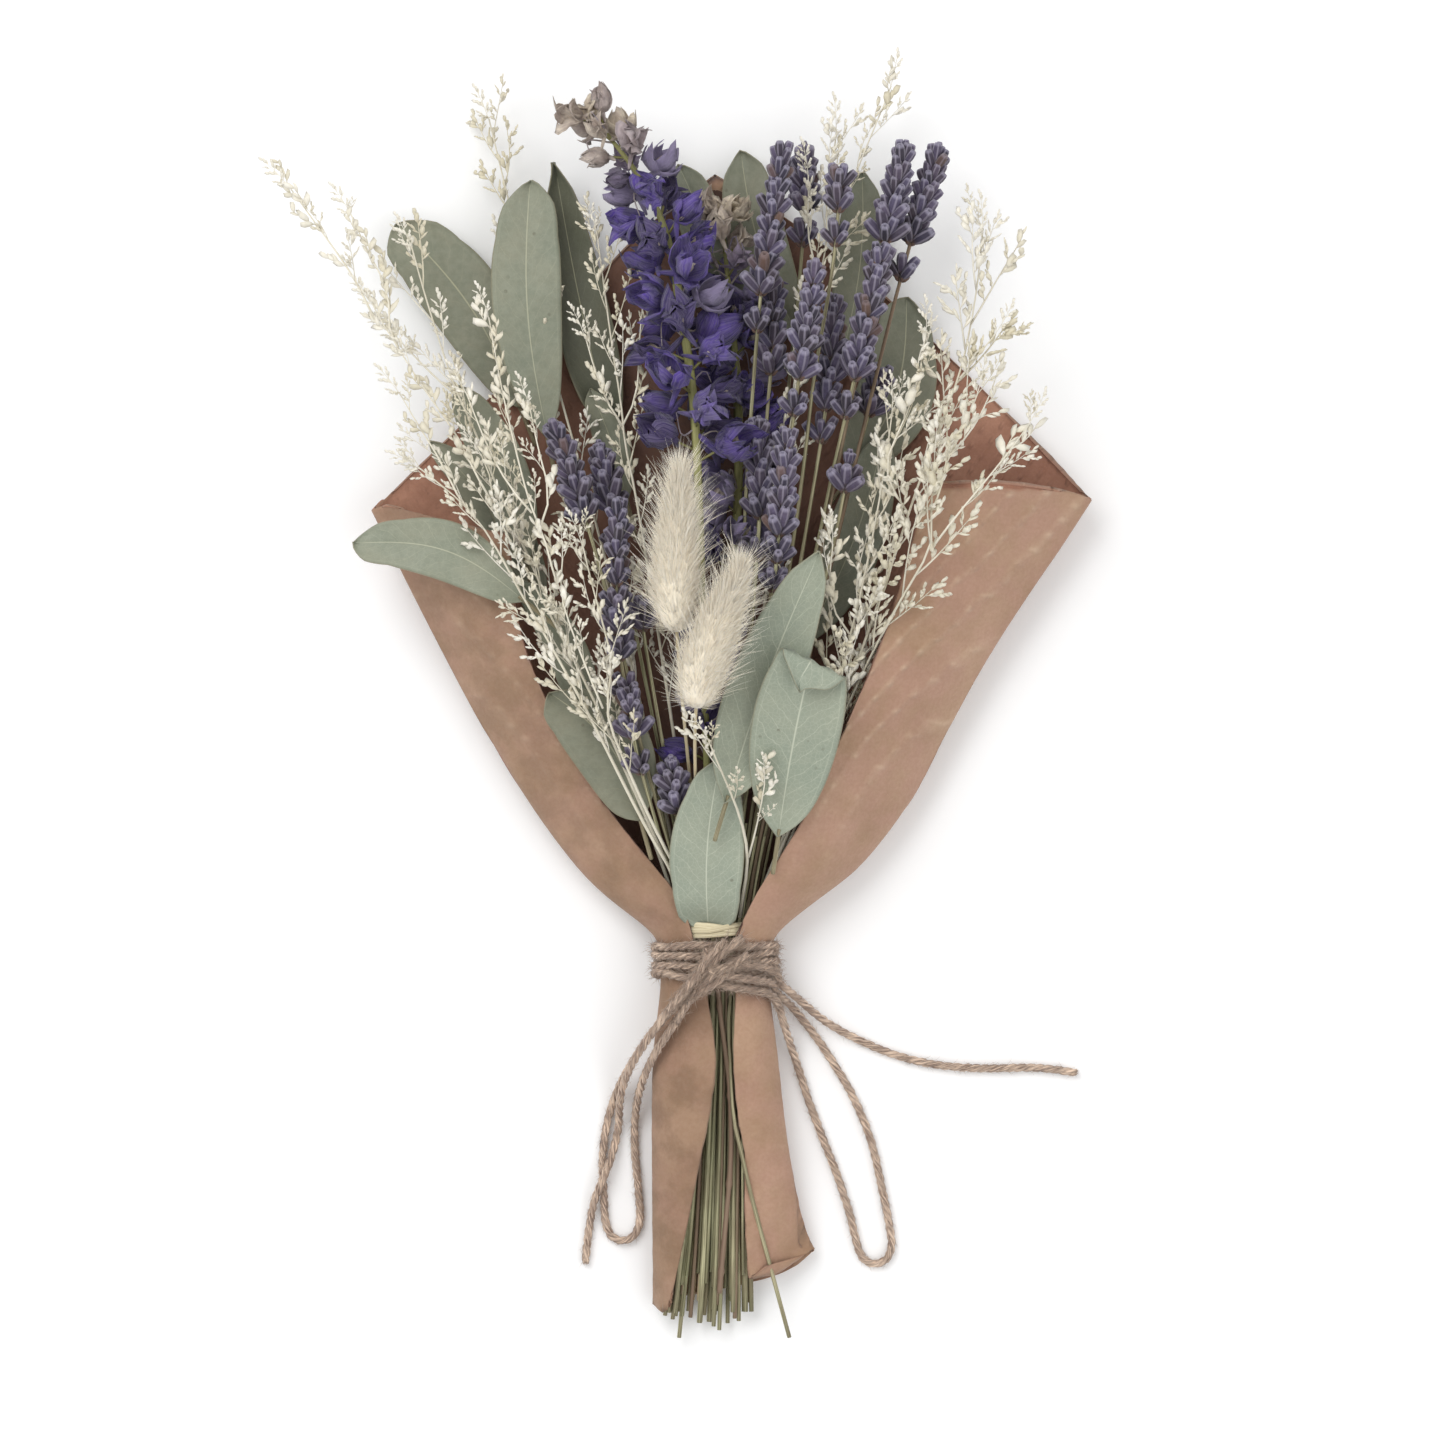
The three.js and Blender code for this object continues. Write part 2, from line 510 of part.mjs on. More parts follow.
const SIDES = 5;
const STATICE_SIDES = 3;
LAVENDER.forEach(([tip, base], i) => {
  const s = stalks[i];
  const rings = ringsOf(s, stemMarks(s.low, base[1] - 0.5));
  const whorls = Math.max(2, Math.round((tip[1] - base[1]) / WHORL));
  for (let w = 0; w < whorls; w++)
    for (const [share, r] of [[0.12, 0.62], [0.62, 1]]) {
      const y = mix(base[1], tip[1], (w + share) / whorls);
      rings.push({ at: settledAt(s.line, y), r: s.radius(y) * r });
    }
  rings.push({ at: settledAt(s.line, tip[1]), r: 1.2 });
  addPiece(s.name, stalk(rings, SIDES), COLOURS.lavender);
});

for (const name of Object.keys(LARKSPUR)) {
  const s = stalks.find((each) => each.name === name);
  const low = LARKSPUR[name].knots[0][0];
  const rings = ringsOf(s, stemMarks(s.low, low - 1));
  spread(low + 2, s.high - 2, 8).forEach((y, i) =>
    rings.push({ at: settledAt(s.line, y), r: s.radius(y) * (i % 2 ? 1 : 0.72) }));
  rings.push({ at: settledAt(s.line, s.high), r: 1.2 });
  addPiece(name, stalk(rings, 7), COLOURS.larkspur);
}

for (const name of Object.keys(BUNNY_TAILS)) {
  const s = stalks.find((each) => each.name === name);
  const low = BUNNY_TAILS[name].knots[0][0];
  const rings = ringsOf(s, stemMarks(s.low, low - 1));
  rings.push(...ringsOf(s, spread(low + 0.5, s.high, 6)));
  addPiece(name, stalk(rings, 7), COLOURS.grass);
}

for (const name of Object.keys(STATICE)) {
  const [main, ...shoots] = stalks.filter((each) => each.name === name);
  const marks = stemMarks(main.low, main.high).filter((y) => shoots.every((s) => Math.abs(y - s.low) > 3));
  marks.push(...shoots.map((s) => s.low));
  marks.sort((a, b) => a - b);
  const bodies = [stalk(ringsOf(main, marks), STATICE_SIDES)];
  for (const s of shoots) {
    const rings = ringsOf(s, spread(s.low, s.high, 9));
    rings[0].at = settledAt(main.line, s.low);
    bodies.push(stalk(rings, STATICE_SIDES));
  }
  addPiece(name, shoots.length ? joined(bodies) : bodies[0], COLOURS.statice);
}

// ---------- raffia and twine ----------
const oval = (a, b, y) => (t) =>
  new THREE.Vector3(a * Math.sin(t), y(t), NECK_Z - b * Math.cos(t));

// The course of a length of twine: a smooth line through the points that never dips under the table.
function course(points) {
  const line = new THREE.CatmullRomCurve3(points.map((p) => new THREE.Vector3(...p)));
  const dense = line.getSpacedPoints(Math.round(line.getLength() / 3));
  for (const p of dense) p.z = Math.max(p.z, LIE);
  return new THREE.CatmullRomCurve3(dense);
}

function tube(extrudePath, radius, sides, steps) {
  const section = new THREE.Shape();
  for (let i = 0; i < sides; i++) {
    const t = (2 * Math.PI * i) / sides;
    section[i ? "lineTo" : "moveTo"](radius * Math.cos(t), radius * Math.sin(t));
  }
  section.closePath();
  return new THREE.ExtrudeGeometry(section, { steps, bevelEnabled: false, extrudePath });
}

// The raffia that holds the stems before they are wrapped: a flat band just above the tie.
const RAFFIA = { low: 4.5, high: 8.5, a: PACK.a + 1.5, b: PACK.b + 1.4, thick: 0.6 };
{
  const geometry = new THREE.LatheGeometry(
    [[0, RAFFIA.low], [RAFFIA.thick, RAFFIA.low], [RAFFIA.thick, RAFFIA.high], [0, RAFFIA.high], [0, RAFFIA.low]]
      .map(([r, y]) => new THREE.Vector2(1 + r / RAFFIA.a, y)), 20);
  geometry.scale(RAFFIA.a, 1, RAFFIA.b).translate(0, 0, NECK_Z);
  addPiece("raffia_binding", geometry, COLOURS.raffia);
}

// The tie: twine wound round the paper.
const TURNS = 4.5;
const TIE_TOP = 2.2;
const PITCH = TWINE + 0.35;
const tieRadius = TWINE / 2 + PAPER / 2 + 0.45;
{
  const wound = oval(NECK.a + tieRadius, NECK.b + tieRadius, (t) => TIE_TOP - (PITCH * t) / (2 * Math.PI));
  const turnSteps = 16;
  const points = Array.from({ length: TURNS * turnSteps + 1 }, (_, i) => wound((2 * Math.PI * i) / turnSteps));
  const path = new THREE.CatmullRomCurve3(points);
  addPiece("twine_tie", tube(path, TWINE / 2, 6, TURNS * turnSteps), COLOURS.twine);
}

// Free lengths of twine, [x, y, z] from where each leaves the tie; LIE is a strand lying on the table.
const LIE = TWINE / 2 + 0.1;
const OVER = LIE + TWINE + 0.5; // a strand that crosses another
const TWINES = {
  twine_knot: [[7.5, 3.5, 24.9], [3.5, 0.6, 25.6], [0, -2.6, 25.8], [-3.5, -6.4, 25.6], [-6.6, -10, 24.8]],
  twine_loop_right: [[16.6, -11.6, 13], [21, -16, 6], [26, -23, 1.9], [32, -32, LIE], [38, -43, LIE], [43, -57, LIE],
    [46.4, -72, LIE], [48.4, -83, LIE], [47, -88.6, LIE], [43, -89, LIE], [40, -83, LIE], [36.2, -70, LIE],
    [30.8, -55, LIE], [25.6, -42, LIE], [21.6, -30, 3], [19.4, -22, 8.6], [17.4, -15.6, 12.6]],
  twine_tail_right: [[17.4, -9, 14.2], [23, -14, 8.4], [31, -20.6, 3.4], [42, -26.4, LIE], [51, -29.8, LIE],
    [61, -32, LIE], [74, -32.9, LIE], [87, -32.7, LIE], [98.6, -34, LIE]],
  twine_loop_left: [[-9, -13.6, 23], [-15.6, -20.6, 19.4], [-21.4, -29, 12], [-26, -37.6, 4.4], [-29, -46, LIE],
    [-31, -56, LIE], [-30.6, -66, LIE], [-27.4, -75.6, LIE], [-23.6, -79.6, LIE], [-20.2, -76.6, LIE],
    [-20.6, -68, LIE], [-21.8, -57, LIE], [-21.8, -47, 2.4], [-20, -37, 9.6], [-15.8, -27.4, 18.6], [-10.6, -19.4, 22]],
  twine_tail_left: [[-12.6, -16.2, 24.6], [-18.4, -24.4, 20], [-23.4, -33, 13], [-25.8, -41, 6.6], [-26.4, -49, 1.8],
    [-28, -56, 2.6], [-30.4, -62.6, OVER], [-33, -69.4, 2.6], [-34.4, -77, LIE], [-35.4, -86, LIE]],
};
for (const [name, points] of Object.entries(TWINES)) {
  const path = course(points);
  addPiece(name, tube(path, TWINE / 2, 8, Math.round(path.getLength() / (2.8 * TWINE))), COLOURS.twine);
}

// ---------- the part's frame ----------
// The origin is on the table under the middle of the bunch, measured without the free twine.
const FREE_TWINE = ["twine_loop_right", "twine_tail_right", "twine_loop_left", "twine_tail_left"];
const box = new THREE.Box3();
for (const mesh of bunch.children) if (!FREE_TWINE.includes(mesh.name)) box.expandByObject(mesh, true);
const middle = box.getCenter(new THREE.Vector3());
bunch.position.set(-middle.x, -middle.y, -box.min.z);

const part = new THREE.Group();
part.add(bunch);
export default part;
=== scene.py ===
"""A posy of dried lavender, larkspur, bleached statice, bunny tail grass and eucalyptus, rolled in kraft
paper, tied with jute twine and lying on its back on a pale table."""
import math
import random

import bmesh
import bpy
import numpy as np
from mathutils import Matrix, Vector, noise
from mathutils.bvhtree import BVHTree


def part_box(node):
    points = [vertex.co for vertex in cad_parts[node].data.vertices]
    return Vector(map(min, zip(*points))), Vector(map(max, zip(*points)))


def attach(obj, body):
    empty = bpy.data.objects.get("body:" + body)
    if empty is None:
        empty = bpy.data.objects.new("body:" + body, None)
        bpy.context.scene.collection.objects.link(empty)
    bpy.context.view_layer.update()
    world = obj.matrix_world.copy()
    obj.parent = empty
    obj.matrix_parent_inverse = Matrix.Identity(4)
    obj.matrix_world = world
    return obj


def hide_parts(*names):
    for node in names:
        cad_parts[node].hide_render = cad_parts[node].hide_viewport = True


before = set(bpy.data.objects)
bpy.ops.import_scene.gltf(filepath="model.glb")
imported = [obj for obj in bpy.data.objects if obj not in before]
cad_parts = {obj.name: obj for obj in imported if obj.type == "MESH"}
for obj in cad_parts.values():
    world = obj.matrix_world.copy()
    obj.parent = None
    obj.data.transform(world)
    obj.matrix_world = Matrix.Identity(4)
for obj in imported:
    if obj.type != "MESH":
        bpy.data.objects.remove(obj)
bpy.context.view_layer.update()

MM = 0.001
TWINE = 2.1 * MM
chance = random.Random(11)
vary = chance.uniform

# The middle of the tie, from which every length of twine is laid out.
tie_low, tie_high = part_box("twine_tie")
TIE = Vector(((tie_low.x + tie_high.x) / 2, tie_high.y - 3.25 * MM, 0.05 * MM))


def from_tie(x, y, z):
    """A point given in millimetres from the tie, with its height above the table."""
    return TIE + Vector((x, y, z)) * MM


def deselect():
    bpy.ops.object.select_all(action="DESELECT")


def clamp(value):
    return min(1, max(0, value))


def ripple(x, y, z):
    """A smooth random wave through space, the same on every run."""
    return noise.noise(Vector((x, y, z)))


deselect()


# ---------- camera ----------
def set_camera():
    view_width, distance = 388.8 * MM, 1.9
    data = bpy.data.cameras.new("camera")
    data.sensor_width = 36
    data.lens = 36 * distance / view_width
    data.clip_end = 20
    camera = bpy.data.objects.new("camera", data)
    camera.location = from_tie(1.35, 62.1, 20) + Vector((0, 0, distance))
    bpy.context.scene.collection.objects.link(camera)
    bpy.context.scene.camera = camera


set_camera()


# ---------- lines ----------
def smooth_line(points, step=1.0 * MM):
    """Even points along a smooth curve through the given ones."""
    p = np.array([list(q) for q in points], float)
    ends = np.vstack([2 * p[0] - p[1], p, 2 * p[-1] - p[-2]])
    out = []
    for i in range(1, len(ends) - 2):
        a, b, c, d = ends[i - 1 : i + 3]
        knots = [0.0]
        for q, r in ((a, b), (b, c), (c, d)):
            knots.append(knots[-1] + max(np.linalg.norm(r - q), 1e-9) ** 0.5)
        t0, t1, t2, t3 = knots
        for t in np.linspace(t1, t2, 12, endpoint=False):
            a1 = (t1 - t) / (t1 - t0) * a + (t - t0) / (t1 - t0) * b
            a2 = (t2 - t) / (t2 - t1) * b + (t - t1) / (t2 - t1) * c
            a3 = (t3 - t) / (t3 - t2) * c + (t - t2) / (t3 - t2) * d
            b1 = (t2 - t) / (t2 - t0) * a1 + (t - t0) / (t2 - t0) * a2
            b2 = (t3 - t) / (t3 - t1) * a2 + (t - t1) / (t3 - t1) * a3
            out.append((t2 - t) / (t2 - t1) * b1 + (t - t1) / (t2 - t1) * b2)
    out.append(p[-1])
    return even(np.array(out), step)


def even(points, step):
    """The same line with points at even distances."""
    run = run_along(points[:, :3])
    n = max(2, int(round(run[-1] / step)) + 1)
    at = np.linspace(0, run[-1], n)
    return np.column_stack([np.interp(at, run, points[:, k]) for k in range(points.shape[1])])


def run_along(points):
    """How far along a line each of its points lies."""
    return np.concatenate([[0], np.cumsum(np.linalg.norm(np.diff(points, axis=0), axis=1))])


def length_of(points):
    return float(np.linalg.norm(np.diff(points[:, :3], axis=0), axis=1).sum())


def frames_along(points):
    """Unit vectors along, beside and above a line, turning as little as they can."""
    p = points[:, :3]
    way = np.gradient(p, axis=0)
    way /= np.linalg.norm(way, axis=1)[:, None] + 1e-12
    side = np.cross(way[0], (0, 0, 1.0))
    if np.linalg.norm(side) < 1e-3:
        side = np.cross(way[0], (1.0, 0, 0))
    sides = []
    for w in way:
        side = side - w * side.dot(w)
        side = side / (np.linalg.norm(side) + 1e-12)
        sides.append(side)
    sides = np.array(sides)
    return way, sides, np.cross(sides, way)


# ---------- stock shapes: made once, then set in place many times ----------
class Stock:
    """The points, corners, faces and uv of one shape."""

    def __init__(self, points, corners, starts, uv):
        self.points = np.asarray(points, float)
        self.corners = np.asarray(corners, int)
        self.starts = np.asarray(starts, int)
        self.uv = np.asarray(uv, float)

    def moved(self, matrix):
        m = np.asarray(matrix, float)
        return Stock(self.points @ m[:3, :3].T + m[:3, 3], self.corners, self.starts, self.uv)


def stock_of(piece, keep_uv=False):
    """Takes the shape of a modelled object and removes the object. u goes round the z axis and v up it."""
    mesh = piece.data
    points = np.array([list(v.co) for v in mesh.vertices])
    corners, starts, uv = [], [], []
    low, high = points[:, 2].min(), points[:, 2].max()
    for face in mesh.polygons:
        starts.append(len(corners))
        middle = math.atan2(face.center.y, face.center.x)
        for k in face.loop_indices:
            n = mesh.loops[k].vertex_index
            corners.append(n)
            if keep_uv:
                uv.append(tuple(mesh.uv_layers.active.data[k].uv))
                continue
            x, y, z = points[n]
            turn = math.atan2(y, x) - middle if abs(x) + abs(y) > 1e-9 else 0
            turn = (turn + math.pi) % (2 * math.pi) - math.pi
            uv.append(((middle + turn) / (2 * math.pi), (z - low) / max(high - low, 1e-9)))
    bpy.data.objects.remove(piece)
    return Stock(points, corners, starts, uv)


def bundle(stocks):
    """Several shapes as one stock shape."""
    points, corners, starts, uv, n, c = [], [], [], [], 0, 0
    for s in stocks:
        points.append(s.points)
        corners.append(s.corners + n)
        starts.append(s.starts + c)
        uv.append(s.uv)
        n += len(s.points)
        c += len(s.corners)
    return Stock(np.vstack(points), np.concatenate(corners), np.concatenate(starts), np.vstack(uv))


def bar(points, radii, sides):
    """A closed round bar along a line; radii is one radius or one for each point."""
    p = points[:, :3]
    n = len(p)
    radii = np.broadcast_to(np.asarray(radii, float), (n,))
    _, side, top = frames_along(p)
    angle = np.arange(sides) * 2 * math.pi / sides
    round_it = np.cos(angle)[None, :, None] * side[:, None] + np.sin(angle)[None, :, None] * top[:, None]
    rings = p[:, None] + round_it * radii[:, None, None]
    run = run_along(p) / (10 * MM)
    corners, uv = [], []
    for i in range(n - 1):
        for j in range(sides):
            k = (j + 1) % sides
            corners += [i * sides + j, i * sides + k, (i + 1) * sides + k, (i + 1) * sides + j]
            u, v = j / sides, (j + 1) / sides
            uv += [(u, run[i]), (v, run[i]), (v, run[i + 1]), (u, run[i + 1])]
    starts = list(range(0, len(corners), 4))
    for ring, order in ((0, range(sides - 1, -1, -1)), (n - 1, range(sides))):
        starts.append(len(corners))
        for j in order:
            corners.append(ring * sides + j)
            uv.append((j / sides, run[ring]))
    return Stock(rings.reshape(-1, 3), corners, starts, uv)


def stand(at, way, size=1.0, spin=0.0, stretch=1.0):
    """The place of a copy whose foot is at a point and whose z axis points along way."""
    way = Vector(way).normalized()
    turn = way.to_track_quat("Z", "Y").to_matrix() @ Matrix.Rotation(spin, 3, "Z")
    m = turn.to_4x4() @ Matrix.Diagonal((size, size, size * stretch, 1))
    m.translation = Vector(at)
    return m


def set_values(mesh, label, values):
    """Gives each point of a mesh a number, which its material reads by its label."""
    attribute = mesh.attributes.new(label, "FLOAT", "POINT")
    attribute.data.foreach_set("value", np.asarray(values, np.float32))


PRESSED = 0.4 * MM  # below this height, what would go into the table is pressed flat on it


def assemble(name, parts, materials, node_slot, *nodes):
    """One piece from many copies. parts holds (stock, place or None, tone, fade, material)."""
    shapes = [s if m is None else s.moved(m) for s, m, _, _, _ in parts]
    whole = bundle(shapes)
    z = whole.points[:, 2]
    whole.points[:, 2] = np.where(z < PRESSED, PRESSED * np.exp(np.minimum(z - PRESSED, 0) / PRESSED), z)
    mesh = bpy.data.meshes.new(name)
    mesh.vertices.add(len(whole.points))
    mesh.vertices.foreach_set("co", whole.points.astype(np.float32).ravel())
    mesh.loops.add(len(whole.corners))
    mesh.loops.foreach_set("vertex_index", whole.corners.astype(np.int32))
    mesh.polygons.add(len(whole.starts))
    mesh.polygons.foreach_set("loop_start", whole.starts.astype(np.int32))
    number = np.repeat([materials.index(part[4]) for part in parts], [len(s.starts) for s in shapes])
    mesh.polygons.foreach_set("material_index", number.astype(np.int32))
    mesh.polygons.foreach_set("use_smooth", np.ones(len(whole.starts), bool))
    mesh.update(calc_edges=True)
    mesh.uv_layers.new(name="run")
    mesh.uv_layers["run"].data.foreach_set("uv", whole.uv.astype(np.float32).ravel())
    for k, label in ((2, "tone"), (3, "fade")):
        set_values(mesh, label, np.repeat([part[k] for part in parts], [len(s.points) for s in shapes]))
    mesh.validate()
    piece = bpy.data.objects.new(name, mesh)
    bpy.context.scene.collection.objects.link(piece)
    for material in materials:
        mesh.materials.append(material)
    return settle_in(piece, node_slot, *nodes)


def settle_in(piece, node_slot, *nodes):
    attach(piece, "root")
    if nodes:
        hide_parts(*nodes)
    return piece


def raised(name, sides, levels, mouth=None):
    """A closed round shape drawn up from its foot ring by ring; levels is a list of (height, radius) in mm.
    mouth is (depth, radius) of a hollow pressed into its end."""
    deselect()
    (z, r), rest = levels[0], levels[1:]
    at = (0, 0, z * MM)
    bpy.ops.mesh.primitive_circle_add(vertices=sides, radius=r * MM, fill_type="NGON", location=at)
    piece = bpy.context.object
    piece.name = name
    bpy.ops.object.transform_apply(location=True, rotation=True, scale=True)
    bpy.ops.object.mode_set(mode="EDIT")
    bpy.ops.mesh.select_all(action="SELECT")
    if mouth:
        rest = rest + [(rest[-1][0], mouth[1]), (rest[-1][0] - mouth[0], mouth[1] * 0.8)]
    for z1, r1 in rest:
        bpy.ops.mesh.extrude_region_move(TRANSFORM_OT_translate={"value": (0, 0, (z1 - z) * MM)})
        bpy.ops.transform.resize(value=(r1 / r, r1 / r, 1), center_override=(0, 0, z1 * MM))
        z, r = z1, r1
    bpy.ops.mesh.select_all(action="SELECT")
    bpy.ops.mesh.normals_make_consistent(inside=False)
    bpy.ops.object.mode_set(mode="OBJECT")
    return piece


def shape_points(piece, change):
    """Moves each point of a modelled shape to change(x, y, z), in mm."""
    for v in piece.data.vertices:
        v.co = Vector(change(*(v.co / MM))) * MM
    return piece


def finish_modifier(piece, kind, **settings):
    bpy.context.view_layer.objects.active = piece
    modifier = piece.modifiers.new(kind.lower(), kind)
    for key, value in settings.items():
        setattr(modifier, key, value)
    bpy.ops.object.modifier_apply(modifier=modifier.name)


# ---------- the courses of the stems, read from the CAD ----------
def merged(node):
    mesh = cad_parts[node].data
    mesh.calc_loop_triangles()
    points = np.array([list(v.co) for v in mesh.vertices])
    _, first, back = np.unique(np.round(points / MM, 3), axis=0, return_index=True, return_inverse=True)
    triangles = back.ravel()[np.array([list(t.vertices) for t in mesh.loop_triangles])]
    return points[first], triangles


def cuts_at(points, triangles, y):
    """The middle and the mean radius of each closed cut through a node at one height."""
    above = points[triangles][:, :, 1] > y
    hit = triangles[above.any(axis=1) & ~above.all(axis=1)]
    group, spot = {}, {}

    def root(key):
        while group[key] != key:
            key = group[key]
        return key

    for tri in hit:
        keys = []
        for a, b in ((tri[0], tri[1]), (tri[1], tri[2]), (tri[2], tri[0])):
            if (points[a][1] > y) == (points[b][1] > y):
                continue
            key = (min(a, b), max(a, b))
            t = (y - points[a][1]) / (points[b][1] - points[a][1])
            spot[key] = points[a] + (points[b] - points[a]) * t
            group.setdefault(key, key)
            keys.append(key)
        group[root(keys[0])] = root(keys[1])
    loops = {}
    for key in spot:
        loops.setdefault(root(key), []).append(spot[key])
    found = []
    for loop in loops.values():
        middle = np.mean(loop, axis=0)
        found.append(np.append(middle, np.linalg.norm(np.array(loop) - middle, axis=1).mean()))
    return found


def courses(node, step=4 * MM):
    """The lines that a node's stem and shoots follow, longest first: x, y, z and radius at each point."""
    points, triangles = merged(node)
    low, high = points[:, 1].min(), points[:, 1].max()
    done, growing = [], []
    for y in np.arange(low + 0.2 * MM, high, step):
        found = cuts_at(points, triangles, y)
        pairs = sorted(
            (np.linalg.norm(line[-1][:3] - q[:3]), i, j)
            for i, line in enumerate(growing)
            for j, q in enumerate(found)
        )
        next_of, line_of, nearest = {}, {}, {}
        for gap, i, j in pairs:
            nearest.setdefault(j, i)
            if i not in next_of and j not in line_of:
                next_of[i], line_of[j] = j, i
        fresh = []
        for j, q in enumerate(found):
            if j in line_of:
                continue
            fresh.append([growing[nearest[j]][-1], q] if j in nearest else [q])
        done += [line for i, line in enumerate(growing) if i not in next_of]
        for i, j in next_of.items():
            growing[i].append(found[j])
        growing = [growing[i] for i in next_of] + fresh
    done += growing
    lines = [np.array(line) for line in done if len(line) > 2]
    for line in lines:
        for _ in range(2):
            line[1:-1, :3] = line[:-2, :3] * 0.25 + line[1:-1, :3] * 0.5 + line[2:, :3] * 0.25
    return sorted(lines, key=length_of, reverse=True)


FEET = 105 * MM  # how far the stems reach below the tie


class Stem:
    """A stem's line, with the stretch of it that carries the head, where it is thicker than thick.
    Below the tie the stems spread and sink; stray is how far one of them is set to the right, in mm."""

    def __init__(self, line, thick, stray=0.0):
        line = line.copy()
        spread, lean, sink = 0.45, -3.3, 0.5
        below = np.clip((TIE.y - line[:, 1]) / FEET, 0, 1.1) ** 2
        line[:, 0] += below * (spread * (line[:, 0] - TIE.x) + (stray + lean) * MM)
        line[:, 2] *= 1 - sink * below
        self.line = line
        self.run = run_along(line[:, :3])
        full = np.nonzero(line[:, 3] > thick)[0]
        self.end = self.run[-1]
        self.start = self.run[full[0]] if len(full) else self.end

    def at(self, s):
        return np.array([np.interp(s, self.run, self.line[:, k]) for k in range(3)])

    def way(self, s):
        d = self.at(min(s + 3 * MM, self.run[-1])) - self.at(max(s - 3 * MM, 0))
        return d / np.linalg.norm(d)

    def outward(self, s, turn, tilt):
        """The unit vector that leaves the stem at s: turn goes round it and tilt away from it."""
        way = self.way(s)
        side = np.cross(way, (0, 0, 1.0))
        side /= np.linalg.norm(side)
        top = np.cross(side, way)
        return way * math.cos(tilt) + (side * math.cos(turn) + top * math.sin(turn)) * math.sin(tilt)

    def piece(self, low, high, r0, r1, sides=6):
        part = even(self.line[:, :3], 6 * MM)
        run = run_along(part)
        inside = (run >= low - 1e-6) & (run <= high + 1e-6)
        part, run = part[inside], run[inside]
        return bar(part, r0 + (r1 - r0) * (run - run[0]) / max(run[-1] - run[0], 1e-9), sides)


# ---------- materials ----------
class Net:
    """Adds nodes to a tree and wires them: a socket given as a value is linked."""

    def __init__(self, tree):
        self.tree = tree

    def add(self, kind, inputs=None, **settings):
        node = self.tree.nodes.new("ShaderNode" + kind)
        for key, value in settings.items():
            setattr(node, key, value)
        for key, value in (inputs or {}).items():
            self.wire(value, node.inputs[key])
        return node

    def wire(self, value, socket):
        if isinstance(value, bpy.types.NodeSocket):
            self.tree.links.new(value, socket)
        else:
            socket.default_value = value

    def maths(self, operation, *values, capped=False):
        node = self.add("Math", dict(enumerate(values)), operation=operation, use_clamp=capped)
        return node.outputs[0]

    def times(self, a, b):
        return self.maths("MULTIPLY", a, b)

    def plus(self, a, b, capped=False):
        return self.maths("ADD", a, b, capped=capped)

    def minus(self, a, b):
        return self.maths("SUBTRACT", a, b)

    def size_of(self, value):
        return self.maths("ABSOLUTE", value)

    def mix(self, share, a, b):
        return self.add("Mix", {0: share, 6: a, 7: b}, data_type="RGBA").outputs[2]

    def tint(self, body, share, amount, shade):
        """A colour with part of a share of another laid over it."""
        return self.mix(self.times(share, amount), body, colour(*shade))

    def band(self, value, low, high):
        """0 at low, 1 at high, smooth between."""
        inputs = {"Value": value, "From Min": low, "From Max": high}
        return self.add("MapRange", inputs, interpolation_type="SMOOTHSTEP").outputs["Result"]

    def spread(self, value, low, high):
        """A value from 0 to 1, spread from low to high."""
        return self.add("MapRange", {"Value": value, "To Min": low, "To Max": high}).outputs["Result"]

    def attribute(self, name):
        return self.add("Attribute", attribute_name=name).outputs["Fac"]

    def place(self):
        return self.add("TexCoord").outputs["Object"]

    def run(self):
        """The piece's own map: u goes round or across it, and v along it."""
        return self.add("UVMap", uv_map="run").outputs["UV"]

    def split(self, vector):
        return self.add("SeparateXYZ", {"Vector": vector}).outputs

    def mottle(self, scale, contrast, spot=None):
        spot = self.place() if spot is None else spot
        return self.group(MOTTLE, Vector=spot, Scale=scale, Contrast=contrast)

    def fibres(self, run, across, along):
        return self.group(FIBRES, Vector=run, Across=across, Along=along)

    def group(self, tree, **values):
        node = self.tree.nodes.new("ShaderNodeGroup")
        node.node_tree = tree
        for key, value in values.items():
            self.wire(value, node.inputs[key])
        return node.outputs[0]


def colour(red, green, blue):
    """A colour given in the 0 to 255 steps of a screen."""
    steps = (red / 255, green / 255, blue / 255)
    return tuple(c / 12.92 if c <= 0.04045 else ((c + 0.055) / 1.055) ** 2.4 for c in steps) + (1.0,)


def effect(name, inputs):
    tree = bpy.data.node_groups.new(name, "ShaderNodeTree")
    for label, kind, value in inputs:
        socket = tree.interface.new_socket(label, in_out="INPUT", socket_type="NodeSocket" + kind)
        if kind == "Float":
            socket.default_value = value
    tree.interface.new_socket("Value", in_out="OUTPUT", socket_type="NodeSocketFloat")
    net = Net(tree)
    given = tree.nodes.new("NodeGroupInput").outputs
    result = tree.nodes.new("NodeGroupOutput").inputs[0]
    return tree, net, given, result


def make_mottle():
    """Soft uneven patches, from 0 to 1."""
    inputs = [("Vector", "Vector", 0), ("Scale", "Float", 300.0), ("Contrast", "Float", 0.3)]
    tree, net, given, result = effect("mottle", inputs)
    wired = {"Vector": given["Vector"], "Scale": given["Scale"], "Detail": 5.0, "Roughness": 0.6}
    cloud = net.add("TexNoise", wired)
    low = net.minus(0.5, given["Contrast"])
    high = net.plus(0.5, given["Contrast"])
    net.wire(net.band(cloud.outputs["Fac"], low, high), result)
    return tree


